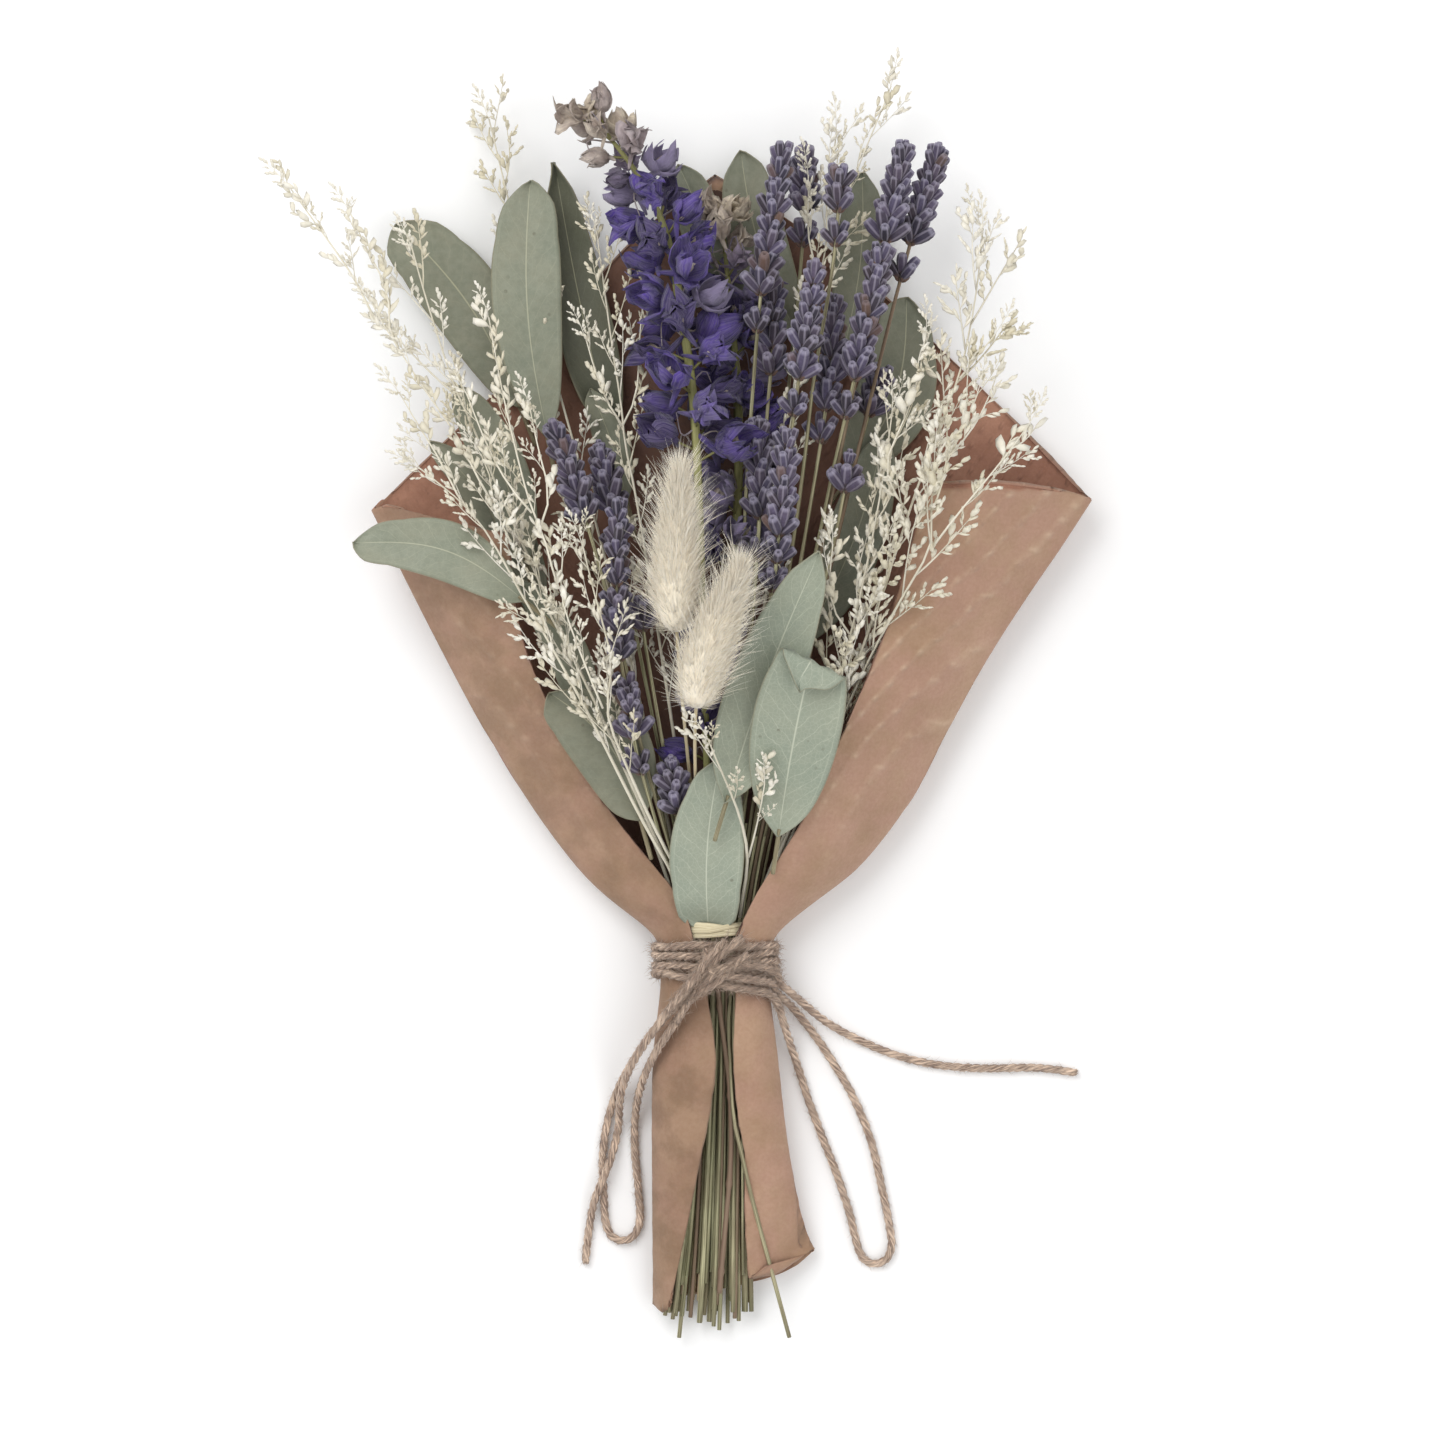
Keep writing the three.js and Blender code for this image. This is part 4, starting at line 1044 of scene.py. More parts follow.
# ---------- larkspur ----------
def larkspur(node, gap, big, fading, thick=1.5):
    """A stalk of flowers. Past a share fading of its length they are small and beige; gap is in mm."""
    stem = Stem(courses(node)[0], 2.4 * MM)
    middle = (stem.start + stem.end) / 2
    above_tie = stem.run[np.argmax(stem.line[:, 1] > TIE.y + 14 * MM)]
    foot = stem.piece(0, above_tie, 0.75 * MM, 0.95 * MM, 8)
    lower = stem.piece(above_tie - 6 * MM, middle, 0.9 * MM, thick * 0.85 * MM, 8)
    upper = stem.piece(middle - 6 * MM, stem.end - 1 * MM, thick * 0.8 * MM, 0.5 * MM, 7)
    parts = [(foot, None, 0.3, 0.1, GREEN_STEM)]
    parts += [(stalk, None, 0.3, 0.1, LARKSPUR_STEM) for stalk in (lower, upper)]
    s, turn = stem.start + 1 * MM, 0.4
    while s < stem.end - 4.0 * MM:
        t = (s - stem.start) / (stem.end - stem.start)
        size = big * (1 - 0.22 * t) * vary(0.85, 1.15) * (0.8 if t > fading else 1)
        out = stem.outward(s, turn, 1.1 - 0.3 * t)
        reach = (5.2 - 2.2 * t) * big * MM
        at = stem.at(s) + out * reach
        stalk = np.array([stem.at(s), stem.at(s) + out * reach * 0.6, at])
        parts.append((bar(stalk, 0.35 * MM, 4), None, 0.4, 0.3, LARKSPUR_STEM))
        open_flower = chance.random() < (0.75 if t < fading - 0.05 else 0.55)
        outer, inner = chance.choice(FLOWERS if open_flower else CLOSED)
        way = stem.outward(s, turn, vary(0.8, 1.4) if t < 0.85 else 0.6)
        faded = clamp((t - fading) / 0.1) * vary(0.65, 1.0)
        place = stand(at, way, size, vary(0, 6))
        tone = chance.random()
        parts.append((outer, place, tone, faded, LARKSPUR))
        parts.append((inner, place, 0.9, max(0.75, faded), LARKSPUR))
        if chance.random() < 0.6:
            bend = stem.outward(s, turn + 1.2, 1.3) * vary(6, 11) * MM
            lift = stem.way(s) * vary(-3, 5) * MM
            corners = [stem.at(s), stem.at(s) + bend * 0.6 + lift, stem.at(s) + bend * 0.8 - lift]
            curl = smooth_line(corners, 1.5 * MM)
            thread = bar(curl, np.linspace(0.3, 0.12, len(curl)) * MM, 4)
            parts.append((thread, None, 0.8, vary(0.2, 0.7), LARKSPUR))
        s += gap * (1 - 0.2 * t) * MM
        turn += 2.4
    outer, _ = CLOSED[0]
    end = stem.end - 6 * MM
    tip = stand(stem.at(end), stem.way(end), 0.66 * big)
    parts.append((outer, tip, 0.5, 0.95 if fading < 1 else 0.0, LARKSPUR))
    assemble(node + "_flowers", parts, [LARKSPUR_STEM, LARKSPUR, GREEN_STEM], "larkspur", node)


larkspur("larkspur_tall", 3.1, 1.18, 0.74)
larkspur("larkspur_rear", 3.1, 1.12, 0.76)
larkspur("larkspur_low", 3.8, 0.95, 2, 1.1)


# ---------- bunny tail grass ----------
HAIRS = 6000
AWN_SHARE = 0.14  # the share of the hairs that are long awns


def bunny_tail(node):
    stem = Stem(courses(node, 2 * MM)[0], 1.6 * MM)
    stalk = stem.piece(0, stem.start + 4 * MM, 0.55 * MM, 0.45 * MM)
    parts = [(stalk, None, 0.2, 0.0, STRAW_STEM)]
    long = stem.end - stem.start
    full = stem.line[:, 3].max()
    shares = (0, 0.04, 0.14, 0.3, 0.55, 0.8, 0.95, 1)
    widths = (0.3, 0.62, 0.88, 0.94, 0.78, 0.42, 0.15, 0.05)

    def girth(t):
        return full * float(np.interp(t, shares, widths))

    core = even(stem.line[stem.run >= stem.start - 1e-6], 1.2 * MM)
    radii = np.array([girth(k / (len(core) - 1)) for k in range(len(core))])
    parts.append((bar(core, radii * 0.9, 18), None, 0.7, 0.05, GRASS))
    for _ in range(HAIRS):
        t = chance.random() ** 0.9 * 0.97
        s = stem.start + long * t
        turn = vary(0, 2 * math.pi)
        at = stem.at(s) + stem.outward(s, turn, math.pi / 2) * girth(t) * 0.84
        tilt = 0.5 - 0.28 * t + vary(-0.2, 0.26)
        if t < 0.08:
            tilt += 0.6 * (1 - t / 0.08)
        awn = chance.random() < AWN_SHARE
        size = vary(0.45, 0.95) * (0.85 + 0.2 * t - 0.6 * t**4 * chance.random())
        way = stem.outward(s, turn, tilt + (0.3 if awn else 0))
        place = stand(at, way, size, vary(0, 6))
        tone = vary(0.2, 1.0)
        parts.append((AWN if awn else HAIR, place, tone, 0.2 * chance.random() ** 3, GRASS))
    assemble(node + "_head", parts, [STRAW_STEM, GRASS], "grass", node)


bunny_tail("bunny_tail_upper")
bunny_tail("bunny_tail_lower")


# ---------- bleached statice ----------
BROAD = [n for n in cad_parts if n.startswith("leaf_") or n == "kraft_paper_wrap"]
WALLS = [BVHTree.FromPolygons(ends.tolist(), sides.tolist()) for ends, sides in map(merged, BROAD)]


def clear_way(at, way, reach):
    """Whether a shoot of some reach passes no leaf and no paper."""
    way = Vector(way)
    start = Vector(at) + way * 0.5 * MM
    for lean in (0, 0.32, -0.32):
        ray = Matrix.Rotation(lean, 3, "Z") @ way
        if any(wall.ray_cast(start, ray, reach)[0] is not None for wall in WALLS):
            return False
    return True


def sprig_stem(node, line, main):
    """A sprig's main stem or one of its shoots, with the stretch that carries flowers."""
    stem = Stem(line, 0.5 * MM)
    if main:
        first = stem.run[np.argmax(line[:, 1] > TIE.y + 24 * MM)]
        stem.start = first + (stem.end - first) * (0.3 if node == "statice_front" else 0.2)
    else:
        stem.start = 4 * MM
    return stem


def statice(node, full):
    """A bleached sprig; full is the size of its side shoots."""
    parts = []
    for index, line in enumerate(courses(node)):
        main = index == 0
        stem = sprig_stem(node, line, main)
        thick, thin = (0.6, 0.2) if main else (0.34, 0.16)
        above_tie = 0
        if main:
            above_tie = stem.run[np.argmax(line[:, 1] > TIE.y + 6 * MM)]
            foot = stem.piece(0, above_tie, 0.7 * MM, 0.62 * MM, 5)
            parts.append((foot, None, chance.random(), 0.2, GREEN_STEM))
        stalk = stem.piece(max(above_tie - 6 * MM, 0), stem.end, thick * MM, thin * MM, 5)
        parts.append((stalk, None, 0.5, 0.2 if main else 0.0, STATICE))
        s, hand = stem.start, 1
        while s < stem.end - 4 * MM:
            room = min(1, (stem.end - s + 6 * MM) / (26 * MM))
            side = 0 if hand > 0 else math.pi
            turn = side + vary(-0.9, 0.9)
            if main or chance.random() < 0.4:
                stock = chance.choice(SHOOTS)
                size = full * vary(0.7, 1.05) * max(0.45, room) * (1 if main else 0.75)
                tilt = vary(0.32, 0.6)
                s += vary(6.4, 9.8) * MM
            else:
                stock, size, tilt = chance.choice(SPIKELETS), full * vary(0.8, 1.2), vary(0.35, 0.7)
                s += vary(3.4, 5.8) * MM
            spin = side + vary(-0.4, 0.4)
            reach = stock.points[:, 2].max() * size
            for swing in (0, 1.2, -1.2, 2.4, math.pi):
                way = stem.outward(s, turn + swing, tilt)
                if clear_way(stem.at(s), way, reach * 1.15):
                    place = stand(stem.at(s), way, size, spin)
                    parts.append((stock, place, chance.random(), 0.1 * chance.random(), STATICE))
                    break
            hand = -hand
        tip = stem.at(stem.end - 3 * MM)
        if clear_way(tip, stem.way(stem.end), 10 * MM):
            parts.append((SHOOTS[1], stand(tip, stem.way(stem.end), 0.55), 0.9, 0.0, STATICE))
    assemble(node + "_spray", parts, [STATICE, GREEN_STEM], "statice", node)


def fullness(node):
    if node.startswith("statice_right"):
        return 1.12
    return 0.8 if node == "statice_front" else 0.88


for node in sorted(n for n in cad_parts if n.startswith("statice_")):
    statice(node, fullness(node))


# ---------- eucalyptus leaves ----------
LEAF_ROWS = 9  # how many rows of points a leaf's CAD sheet has, from foot to tip


def leaf_rows(node):
    """Rows of a CAD leaf from its foot to its tip: the middle of each and the vector to its edge."""
    points, _ = merged(node)
    middle = points.mean(axis=0)
    axis = np.linalg.svd(points - middle)[2][0]
    if axis[1] < 0:
        axis = -axis
    along = (points - middle) @ axis
    order = np.argsort(along)
    breaks = sorted(np.argsort(np.diff(along[order]))[1 - LEAF_ROWS :] + 1)
    rows = []
    for row in np.split(points[order], breaks):
        apart = row[:, None] - row[None]
        far = np.unravel_index(np.argmax(np.linalg.norm(apart, axis=2)), (len(row), len(row)))
        half = apart[far] / 2
        to_right = half[0] * axis[1] - half[1] * axis[0] > 0
        rows.append((row.mean(axis=0), half if to_right else -half))
    return np.array([np.concatenate(row) for row in rows])


def between(rows, t):
    """Catmull-Rom through rows, t from 0 to 1."""
    x = t * (len(rows) - 1)
    i = min(int(x), len(rows) - 2)
    f = x - i
    a, b = rows[max(i - 1, 0)], rows[i]
    c, d = rows[i + 1], rows[min(i + 2, len(rows) - 1)]
    return b + 0.5 * f * (c - a + f * (2 * a - 5 * b + 4 * c - d + f * (3 * (b - c) + d - a)))


LEAF_LOOKS = {  # paleness, darkness, how much the edges rise, how wavy they are, how round the tip is
    "leaf_centre_front": (1.0, 0.0, 0.10, 0.5, 0.5), "leaf_right_fold": (0.95, 0.0, 0.07, 0.5, 0.3),
    "leaf_right_front": (0.85, 0.0, 0.12, 0.7, 0.3), "leaf_tall_left": (0.35, 0.0, 0.10, 0.5, 0.85),
    "leaf_broad_left": (0.15, 0.05, 0.08, 0.5, 1.0), "leaf_dark_rear": (0.1, 0.75, 0.3, 1.0, 0.0),
    "leaf_side_left": (0.45, 0.0, 0.10, 0.9, 0.9), "leaf_left_front": (0.15, 0.25, 0.08, 0.5, 0.5),
    "leaf_rear_middle": (0.3, 0.0, 0.08, 0.5, 1.0), "leaf_rear_right": (0.2, 0.3, 0.08, 0.5, 0.8),
}
TUCKED = "leaf_centre_front"  # its foot goes under the raffia
BOWED = "leaf_dark_rear"  # dried into a bow
FOLDED = "leaf_right_fold"  # its tip is folded back over it


def course_of_leaf(node):
    """The rows of a leaf as it has dried: lengthened for its fold, tucked in or bowed."""
    rows = leaf_rows(node)
    share = np.linspace(0, 1, len(rows))
    if node == FOLDED:
        rows[:, :3] += (rows[-1, :3] - rows[0, :3]) * 0.12 * share[:, None]
    if node == TUCKED:
        rows = np.array([between(rows, t) for t in np.linspace(0.05, 1, len(rows))])
        rows[:, 2] -= 3.2 * MM * np.clip(1 - share / 0.14, 0, 1)
    if node == BOWED:
        rows[:, 0] += 8 * MM * np.sin(math.pi * share)
    return rows


def half_width(node, rows, t, blunt):
    """Half the width of a leaf at a share t of its length, rounded at its tip and its foot."""

    def of_row(at):
        return np.linalg.norm(between(rows, at)[3:])

    width = of_row(t)
    if t > 0.78:
        width += blunt * (max(width, of_row(0.78) * (1 - ((t - 0.78) / 0.235) ** 2) ** 0.5) - width)
    if t < 0.24 and node == TUCKED:
        width = max(width, of_row(0.24) * (1 - ((0.24 - t) / 0.31) ** 2) ** 0.5)
    foot = (t / 0.06) ** 0.5 if t < 0.06 else 1
    tip = ((1 - t) / 0.09) ** 0.5 if t > 0.91 else 1
    return width * min(1, foot) * min(1, max(0.02, tip))


def leaf(node):
    rows = course_of_leaf(node)
    plain = (vary(0.1, 0.4), vary(0, 0.3), 0.12, 0.6, 0.5)
    pale, dark, rise, wave, blunt = LEAF_LOOKS.get(node, plain)
    deselect()
    bpy.ops.mesh.primitive_grid_add(x_subdivisions=15, y_subdivisions=41, size=2, calc_uvs=True)
    piece = bpy.context.object
    piece.name = node + "_blade"
    seed = vary(0, 50)
    widest = np.linalg.norm(rows[:, 3:], axis=1).max()
    long = length_of(rows[:, :3])
    for v in piece.data.vertices:
        u, t = v.co.x, (v.co.y + 1) / 2
        row = between(rows, t)
        way = between(rows, min(t + 0.02, 1)) - between(rows, max(t - 0.02, 0))
        way = Vector(way[:3]).normalized()
        side = Vector(row[3:]).normalized()
        top = side.cross(way).normalized()
        if top.z < 0:
            top = -top
        width = half_width(node, rows, t, blunt)
        edge = abs(u) ** 2
        lift = rise * widest * edge + 0.5 * wave * MM * edge * math.sin(seed + t * 17 + (2 if u > 0 else 0))
        lift += ripple(u * 1.2 + seed, t * 4, seed) * 0.5 * MM - 0.35 * MM * math.exp(-((u / 0.08) ** 2))
        spot = Vector(row[:3]) + side * (width * u) + top * lift
        past = (t - 0.83) * long + 0.28 * u * width
        if node == FOLDED and past > 0:
            crease = (way + side * 0.28 * 0.5).normalized()
            spot -= crease * (2 * past * 0.9)
            spot += top * (0.7 * MM + 0.35 * past)
        v.co = spot
    finish_modifier(piece, "SOLIDIFY", thickness=0.34 * MM, offset=0)
    piece.data.uv_layers.active.name = "run"
    for label, value in (("tone", pale), ("fade", dark)):
        set_values(piece.data, label, np.full(len(piece.data.vertices), value))
    bpy.ops.object.shade_smooth()
    piece.data.materials.append(LEAF)
    settle_in(piece, "leaf", node)
    foot = rows[0, :3] - rows[1, :3]
    foot /= np.linalg.norm(foot)
    reach = 2 * MM if node == TUCKED else 11 * MM
    line = rows[0, :3] + np.outer((-2 * MM, reach * 0.5, reach), foot)
    line[2, 2] -= 1 * MM
    line[:, 2] = np.maximum(line[:, 2], 1.6 * MM)
    stalk = bar(smooth_line(line, 1.5 * MM), 0.6 * MM, 6)
    assemble(node + "_stalk", [(stalk, None, 0.5, 0.35, GREEN_STEM)], [GREEN_STEM], "leaf")


for node in sorted(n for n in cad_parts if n.startswith("leaf_")):
    leaf(node)


# ---------- the paper ----------
FLAP_TOP = TIE.y + 124 * MM


def paper_inside(point, normal):
    """Whether a point of the wrap is on its flower side."""
    if point.y > FLAP_TOP:
        return normal.z > 0
    rise = clamp((point.y - TIE.y) / (60 * MM))
    height = (11.5 + 10.5 * rise) * MM if point.y > TIE.y else 10.5 * MM
    return normal.x * (point.x - TIE.x) + normal.z * (point.z - height) < 0


def lapped(x, below, z):
    """How far the right front panel is drawn down and over the stems, from a point in mm."""
    if below > 82.4 or z < np.interp(below, (55, 82), (9.0, 4.9)):
        return Vector((0, 0, 0))
    edge = np.interp(below, (15, 55, 82), (4.5, 7.4, 26.7))
    fold = np.interp(below, (15, 55, 82), (15.5, 20.2, 27.2))
    share = clamp((fold - x) / (fold - edge))
    down = np.interp(below, (15, 40, 60, 82), (0, 2.4, 3.0, 0))
    s = max(0, (below - 55) / 27)
    to_x = np.interp(s, (0, 0.8, 1), (7.4, 15.4, 26.7))
    to_below = np.interp(s, (0, 0.8, 1), (55, 89.6, 82))
    pull = Vector((to_x - edge, max(below, 55) - to_below, 0)) if s > 0 else Vector((0, 0, 0))
    return (pull - Vector((0, 0, down))) * share * MM


def smoothed_sheet(node):
    """A smooth copy of the paper's CAD sheet, with its rim and its corners kept sharp."""
    deselect()
    piece = bpy.data.objects.new("embossed_wrap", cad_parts[node].data.copy())
    bpy.context.scene.collection.objects.link(piece)
    piece.data.materials.clear()
    form = bmesh.new()
    form.from_mesh(piece.data)
    bmesh.ops.remove_doubles(form, verts=form.verts, dist=0.01 * MM)
    bmesh.ops.join_triangles(form, faces=form.faces, angle_face_threshold=1.4, angle_shape_threshold=3.0)
    crease = form.edges.layers.float.new("crease_edge")
    point_crease = form.verts.layers.float.new("crease_vert")
    inner = [e for e in form.edges if len(e.link_faces) == 2]
    rim = {e for e in inner if e.calc_face_angle() > 1.2 and e.calc_length() > 1.2 * MM}
    for e in rim:
        e[crease] = 1.0
    for v in form.verts:
        ends = [e.other_vert(v).co - v.co for e in v.link_edges if e in rim]
        if len(ends) == 2 and ends[0].angle(-ends[1]) > 0.55:
            v[point_crease] = 1.0
    form.to_mesh(piece.data)
    form.free()
    bpy.context.view_layer.objects.active = piece
    piece.select_set(True)
    finish_modifier(piece, "SUBSURF", levels=3, render_levels=3)
    bpy.ops.object.shade_smooth()
    piece.data.update()
    return piece


def ridge_count(across, y, slope, pitch):
    return (across * math.sin(slope) + y * math.cos(slope)) / (pitch * MM)


def embossed(p, n, across, near_tie, inside):
    """A point of the sheet moved by its quilting, its pleats at the tie and its soft unevenness."""
    face_out = -n if inside else n
    quilt = math.cos(2 * math.pi * ridge_count(abs(across), p.y, *MAIN_RIDGE)) * 0.5
    quilt += math.cos(2 * math.pi * ridge_count(abs(across), p.y, *CROSS_RIDGE)) * 0.25
    pleat = ripple(across * 130, p.y * 22, 3) * 0.7 * MM * near_tie
    soft = ripple(across * 26, p.y * 18, 8) * 1.0 * MM * (1 - near_tie)
    soft += ripple(across * 90, p.y * 60, 2) * 0.2 * MM
    shift = face_out * (quilt * 0.26 * MM * (1 - 0.7 * near_tie) + pleat + soft * min(1, p.z / (9 * MM)))
    shift *= 0.15 + 0.85 * min(1, abs(n.z) * 1.3)
    if inside:
        shift += face_out * (0.4 - 0.2 * near_tie) * MM
    return p + shift


def draped(p, spot):
    """A moved point of the sheet with its folds set: p is where it was in the CAD sheet."""
    below, beside = (TIE.y - p.y) / MM, (p.x - TIE.x) / MM
    if below > 3 and beside < 0:  # the left panel closes over the stems
        closing = np.interp(below, (3, 10, 32, 56, 95), (0, 3.6, 3.2, 1.0, 0))
        share = clamp((p.z / MM - 8) / 8) * clamp((beside + 13) / 9)
        spot.x += closing * share * MM
    if below < -20 and beside > 0:  # above the tie, the right fold runs straight to its corner
        slack = np.interp(-below, (20, 35, 45, 57, 83, 108), (0, 2.2, 3.4, 3.4, 1.2, 0))
        spot.x -= slack * clamp((beside + 0.2 * below - 14) / 26) * MM
    if below > 15 and beside > 0:
        spot += lapped(beside, below, p.z / MM)
    spot.z = max(spot.z, 0.0)
    return spot


def paper_wrap(node):
    piece = smoothed_sheet(node)
    mesh = piece.data
    looks = {"inner": [], "deep": [], "crisp": [], "stain_and_shade": []}
    sheet, moved = [], []
    for v in mesh.vertices:
        p, n = v.co.copy(), v.normal.copy()
        inside = paper_inside(p, n)
        across = (p.x - TIE.x) + math.copysign(max(p.z - 4 * MM, 0), p.x - TIE.x) * 0.8
        near_tie = math.exp(-(((p.y - TIE.y) / (20 * MM)) ** 2))
        sheet.append((abs(across) / (10 * MM), p.y / (10 * MM)))
        moved.append(draped(p, embossed(p, n, across, near_tie, inside)))
        below = (TIE.y - p.y) / MM
        skirt, left = below > 0, p.x < TIE.x
        looks["inner"].append((0.35 if skirt else 1.0) if inside else 0.0)
        # deep is painted shade on the inside, darkest at the middle of the wrap and none on the skirt
        looks["deep"].append(0.0 if skirt else max(0.0, 1 - abs(p.x - TIE.x) / (70 * MM)) ** 0.8)
        looks["crisp"].append((0.35 if left else 1.0) * clamp((-below - 20) / 40) + 0.12)
        # the skirt below the tie is darker still, partly stains and partly painted shade
        worn = (0.2 if left else 0.12) if skirt else 0
        looks["stain_and_shade"].append(min(1, (0.72 if left else 0.06) + worn))
    for v, spot in zip(mesh.vertices, moved):
        v.co = spot
    for label, values in looks.items():
        set_values(mesh, label, values)
    for layer in list(mesh.uv_layers):
        mesh.uv_layers.remove(layer)
    uv = np.array([sheet[loop.vertex_index] for loop in mesh.loops], np.float32)
    mesh.uv_layers.new(name="run").data.foreach_set("uv", uv.ravel())
    mesh.materials.append(PAPER)
    settle_in(piece, "kraft_paper", node)


paper_wrap("kraft_paper_wrap")


# ---------- twine ----------
TWIST = 7.5 * MM  # the length in which a strand goes once round


def strands(route):
    """Three twisted strands that follow a route."""
    line = even(route, 0.9 * MM)
    _, side, top = frames_along(line)
    run = np.arange(len(line)) * length_of(line) / (len(line) - 1)
    stocks = []
    for k in range(3):
        angle = 2 * math.pi * (run / TWIST + k / 3)
        offset = (np.cos(angle)[:, None] * side + np.sin(angle)[:, None] * top) * TWINE * 0.265
        swell = 1 + 0.12 * np.sin(run / MM * 1.7 + k * 2) * np.sin(run / MM * 0.43 + k)
        radii = TWINE * 0.3 * swell
        radii[0] *= 0.75
        radii[-1] *= 0.75
        stocks.append(bar(line + offset, radii, 6))
    return stocks


def fuzz(route, per_mm, reach):
    """Loose fibres that stand off a length of twine."""
    line = even(route, 1 * MM)
    way, side, top = frames_along(line)
    parts = []
    for _ in range(int(len(line) * per_mm)):
        i = chance.randrange(len(line))
        angle = vary(0, 2 * math.pi)
        out = side[i] * math.cos(angle) + top[i] * math.sin(angle)
        lean = vary(0.15, 0.75)
        direction = way[i] * chance.choice((-1, 1)) * math.cos(lean) + out * math.sin(lean)
        if direction[2] < 0 and line[i][2] < 3 * MM:
            direction[2] *= -0.3
        size = vary(0.35, 0.8) * reach
        place = stand(line[i] + out * TWINE * 0.44, direction, size, vary(0, 6))
        parts.append((FIBRE, place, vary(0.2, 1), 0.0, JUTE))
    return parts


def spun(route, per_mm, reach, shade=0.15):
    """One length of twine: its strands, each a shade lighter than the last, and its fuzz."""
    parts = [(s, None, shade * k, 0.0, JUTE) for k, s in enumerate(strands(route))]
    return parts + fuzz(route, per_mm, reach)


LIE = 1.25
OVER = LIE + 2.6
ROUTES = {  # millimetres from the tie and above the table, from the tie to the far end
    "twine_loop_right": [
        (16.6, -11.6, 13), (21, -16, 6), (26.4, -22.8, 1.9), (32.4, -31.6, LIE), (38, -41.4, LIE),
        (42.6, -53, LIE), (45.6, -66, LIE), (47.4, -75, LIE), (48.1, -81.4, LIE), (46.8, -84.8, LIE),
        (43.6, -86.2, LIE), (40.4, -84.8, LIE), (38.8, -81, LIE), (36.8, -73, LIE), (34, -64, LIE),
        (30.2, -54, LIE), (26, -43, LIE), (21.8, -30, 3), (19.2, -22, 8.6), (17.4, -15.6, 12.6),
    ],
    "twine_tail_right": [
        (17.4, -9, 14.2), (23, -14, 8.4), (31, -20.6, 3.4), (42, -26.4, LIE), (51, -29.8, LIE),
        (61, -32, LIE), (74, -32.9, LIE), (87, -32.7, LIE), (98.6, -34, LIE),
    ],
    "twine_loop_left": [
        (-9, -13.6, 23), (-15.6, -20.6, 19.4), (-21.4, -29, 12), (-26, -37.6, 4.4), (-29, -46, LIE),
        (-30.6, -56, LIE), (-30.4, -66, LIE), (-29.8, -74.8, LIE), (-28.4, -78.4, LIE),
        (-25.2, -79.9, LIE), (-22, -78.4, LIE), (-20.6, -74.8, LIE), (-20.9, -66, LIE),
        (-21.8, -56, LIE), (-21.8, -46.6, 2.6), (-20, -37, 9.6), (-15.8, -27.4, 18.6),
        (-10.6, -19.4, 22),
    ],
    "twine_tail_left": [
        (-12.6, -16.2, 24.6), (-18.4, -24.4, 20), (-23.4, -33, 13), (-25.8, -41, 6.6),
        (-26.4, -49, 1.8), (-28, -56, 2.6), (-30.4, -62.6, OVER), (-33, -69.4, 2.6), (-34.4, -77, LIE),
        (-35.4, -86, LIE),
    ],
}


FRAY = 40  # loose fibres at a cut end


def free_twine(node):
    route = smooth_line([from_tie(*p) for p in ROUTES[node]], 1 * MM)
    route[:, 2] = np.maximum(route[:, 2], LIE * MM)
    parts = spun(route, 4.5, 0.8)
    if "tail" in node:
        frayed = route[-1] - (route[-1] - route[-2]) * 1.5
        for _ in range(FRAY):
            way = route[-1] - route[-4] + np.array([vary(-1, 1), vary(-1, 1), vary(0, 1)]) * 1.4 * MM
            parts.append((FIBRE, stand(frayed, way, 0.6, vary(0, 6)), 0.8, 0.0, JUTE))
    piece = assemble(node + "_jute", parts, [JUTE], "twine", node)


for node in sorted(ROUTES):
    free_twine(node)


HALF_WIDE, HALF_HIGH = 16.4, 10.6  # millimetres from the middle of the tie to its twine
TURN_STEPS = 36


def tie(node):
    """Twine wound four and a half times round the paper, a little uneven."""
    points = []
    for i in range(4 * TURN_STEPS + 19):
        t = 2 * math.pi * i / TURN_STEPS
        wobble = ripple(math.sin(t) * 2, math.cos(t) * 2, i / 30)
        a, b = HALF_WIDE + 0.45 * wobble, HALF_HIGH + 0.45 * wobble
        y = 2.2 - 2.4 * t / (2 * math.pi) + 1.5 * ripple(math.cos(t) * 1.4, 5, math.sin(t) * 1.4 + i / 60)
        points.append(from_tie(a * math.sin(t), y, 11.5 - b * math.cos(t)))
    route = smooth_line(points, 1 * MM)
    assemble(node + "_jute", spun(route, 12.0, 1.2), [JUTE], "twine", node)


tie("twine_tie")

KNOT = [
    [(7.5, 3.5, 24.2), (3.5, 0.6, 25.6), (0, -2.6, 25.8), (-3.5, -6.4, 25.6), (-6.6, -10, 24.8)],
    [(9, -1, 23.8), (5, -4, 25.4), (1, -8, 25.2), (-4, -11.2, 24.6), (-9, -13.6, 23)],
    [(3, 2.6, 24.2), (-0.6, -0.6, 26.6), (-4.4, -5.6, 26.8), (-8.5, -11.2, 26), (-12.6, -16.2, 24.6)],
    [(-10.6, -19.4, 22), (-7.6, -14.6, 23.4), (-3, -9, 25), (2, -5.2, 26.2), (7, -4, 24.4)],
    [(17.4, -9, 14.2), (16.2, -6, 17.6), (12, -4.4, 22), (6, -3.6, 24.9), (0.5, -4.8, 25.9), (-3, -2, 24.6)],
    [(16.6, -11.6, 13), (15.4, -9, 17.2), (11.4, -8, 22), (5, -7, 24.6), (-1, -5.4, 26), (-2.6, 0.4, 24.6)],
    [(17.4, -15.6, 12.6), (15.4, -12.4, 16.4), (10.8, -10.8, 20.8), (4, -9.8, 23.4), (-2.4, -8, 24)],
]


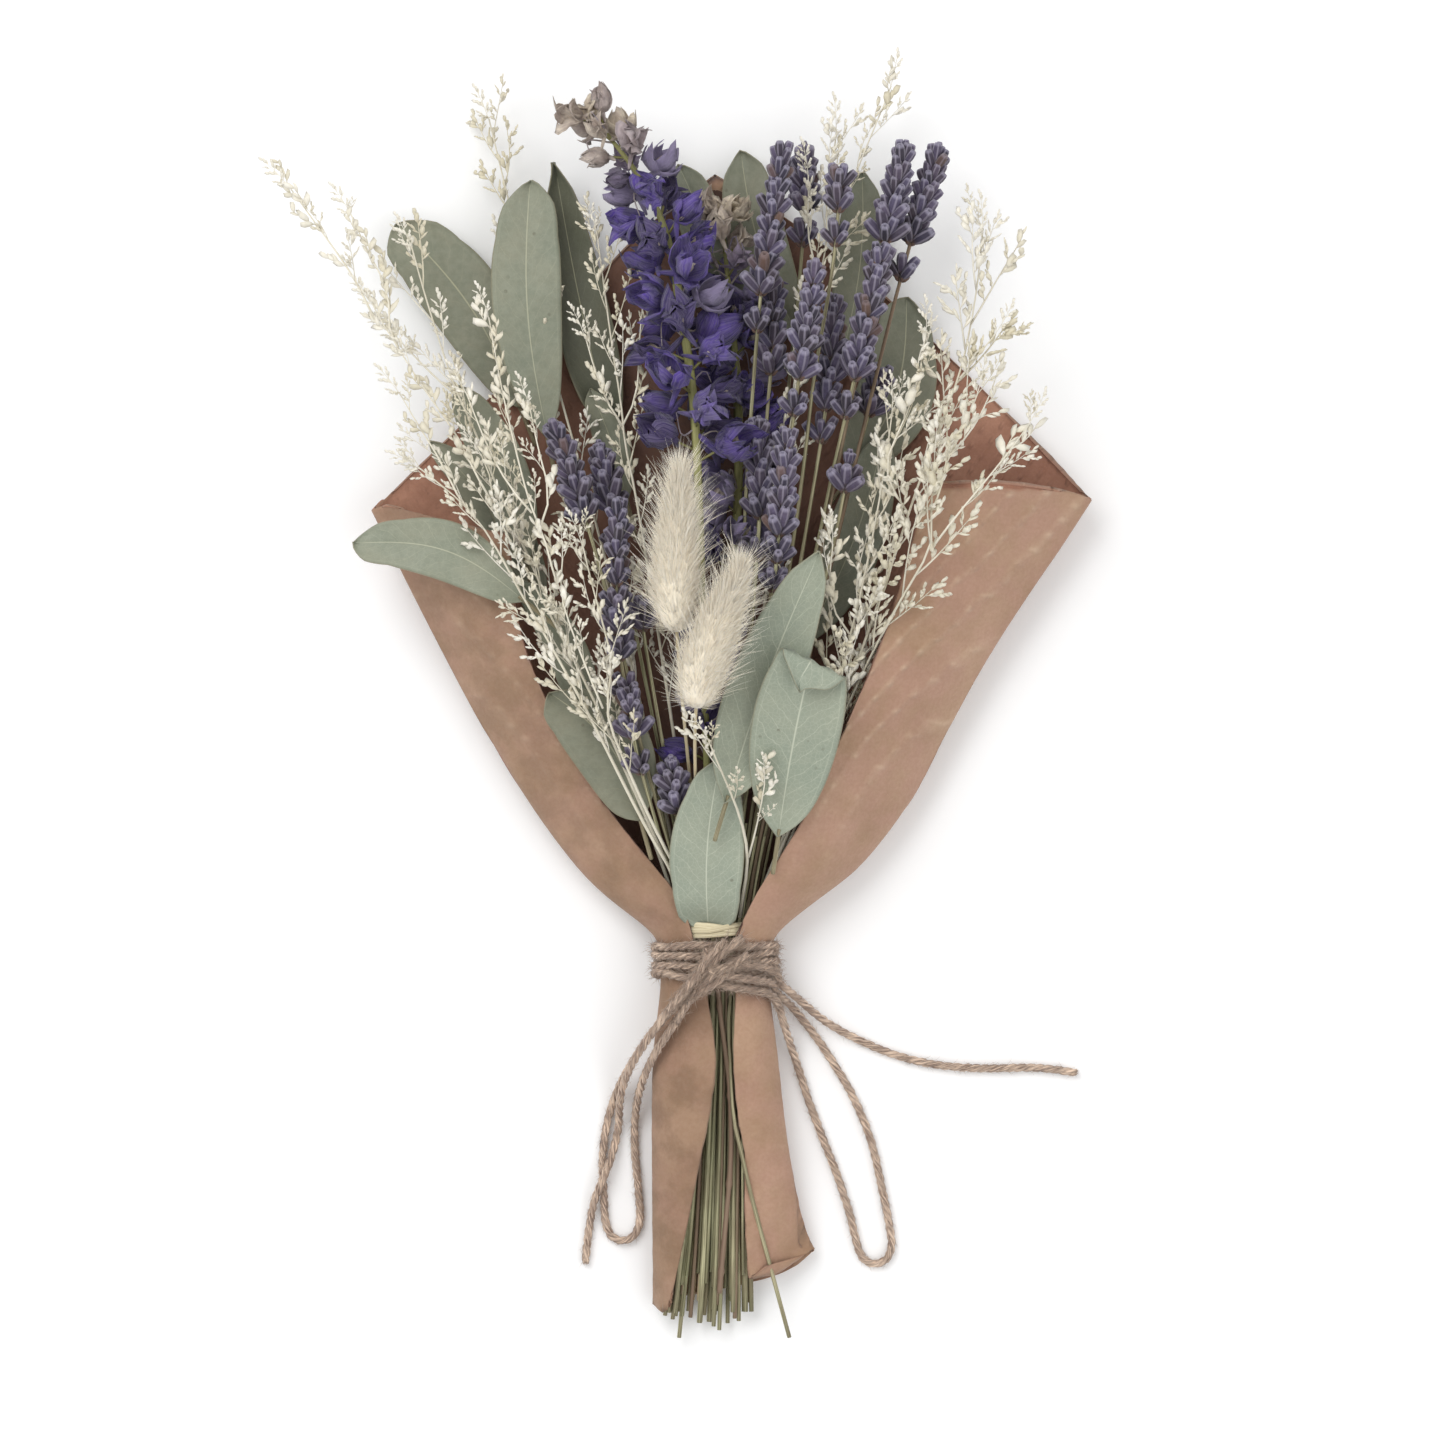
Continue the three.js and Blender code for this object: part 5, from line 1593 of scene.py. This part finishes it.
def knot(node):
    parts = []
    for line in KNOT:
        route = smooth_line([from_tie(*p) for p in line], 1 * MM)
        parts += spun(route, 15.0, 1.35, shade=0.2)
    assemble(node + "_jute", parts, [JUTE], "twine", node)


knot("twine_knot")


# ---------- raffia ----------
def ribbon(line, wide, thick):
    """A flat strip along a line that lies round the stems."""
    stock = bar(line, 1.0 * MM, 10)
    way, _, _ = frames_along(line)
    middle = np.array([TIE.x, 0, 11.55 * MM])
    points = stock.points.reshape(len(line), 10, 3)
    for i, at in enumerate(line):
        out = at - middle
        out[1] = 0
        out /= np.linalg.norm(out)
        beside = np.cross(out, way[i])
        beside /= np.linalg.norm(beside)
        offset = points[i] - at
        broad = np.cross(way[i], out)
        points[i] = at + (np.outer(offset @ broad, broad) * wide + np.outer(offset @ out, out) * thick)
    stock.points = points.reshape(-1, 3)
    return stock


def raffia(node):
    low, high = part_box(node)
    a, b = (high.x - low.x) / 2 - 0.3 * MM, (high.z - low.z) / 2 - 0.3 * MM
    middle = Vector(((high.x + low.x) / 2, (high.y + low.y) / 2, (high.z + low.z) / 2))
    parts = []
    for k, (shift, sway, wide) in enumerate([(-1.3, -0.2, 0.9), (0.4, 0.8, 1.0), (0.4, -1.0, 0.8)]):
        points = []
        for i in range(97):
            t = 2 * math.pi * i / 96
            y = shift - 0.9 + 0.2 * math.sin(3 * t + k)
            y += sway * (1 if math.cos(t) < 0 else 0.3) * -math.tanh((math.sin(t) * a - 1.5 * MM) / (4 * MM))
            swell = 1 + 0.02 * k
            lift = 1.0 * MM * math.exp(-((math.sin(t) * a / (6.5 * MM)) ** 4)) if math.cos(t) < 0 else 0
            x, z = a * swell * math.sin(t), lift - b * swell * math.cos(t)
            points.append((middle.x + x, middle.y + y * MM, middle.z + z))
        parts.append((ribbon(np.array(points), wide, 0.22), None, 0.3 * k, 0.0, RAFFIA))
    assemble(node + "_strips", parts, [RAFFIA], "raffia", node)


raffia("raffia_binding")


# ---------- table and light ----------
def studio():
    deselect()
    bpy.ops.mesh.primitive_plane_add(size=6, location=(0, 0, -0.2 * MM))
    table = bpy.context.object
    table.name = "table"
    bpy.ops.object.transform_apply(location=True, rotation=True, scale=True)
    table.data.materials.append(make_floor())
    world = bpy.data.worlds.new("soft_room")
    world.use_nodes = True
    world.node_tree.nodes["Background"].inputs["Color"].default_value = (1, 1, 1, 1)
    world.node_tree.nodes["Background"].inputs["Strength"].default_value = 0.75
    bpy.context.scene.world = world
    for name, place, size, power in (("key", (-0.7, 0.8, 1.5), 1.2, 14), ("fill", (0.9, -0.5, 1.6), 1.4, 6)):
        data = bpy.data.lights.new(name, "AREA")
        data.shape, data.size, data.energy = "DISK", size, power
        lamp = bpy.data.objects.new(name, data)
        lamp.location = place
        lamp.rotation_euler = (Vector((0, 0, 0)) - lamp.location).to_track_quat("-Z", "Y").to_euler()
        bpy.context.scene.collection.objects.link(lamp)
    bpy.context.scene.view_settings.view_transform = "Standard"


studio()
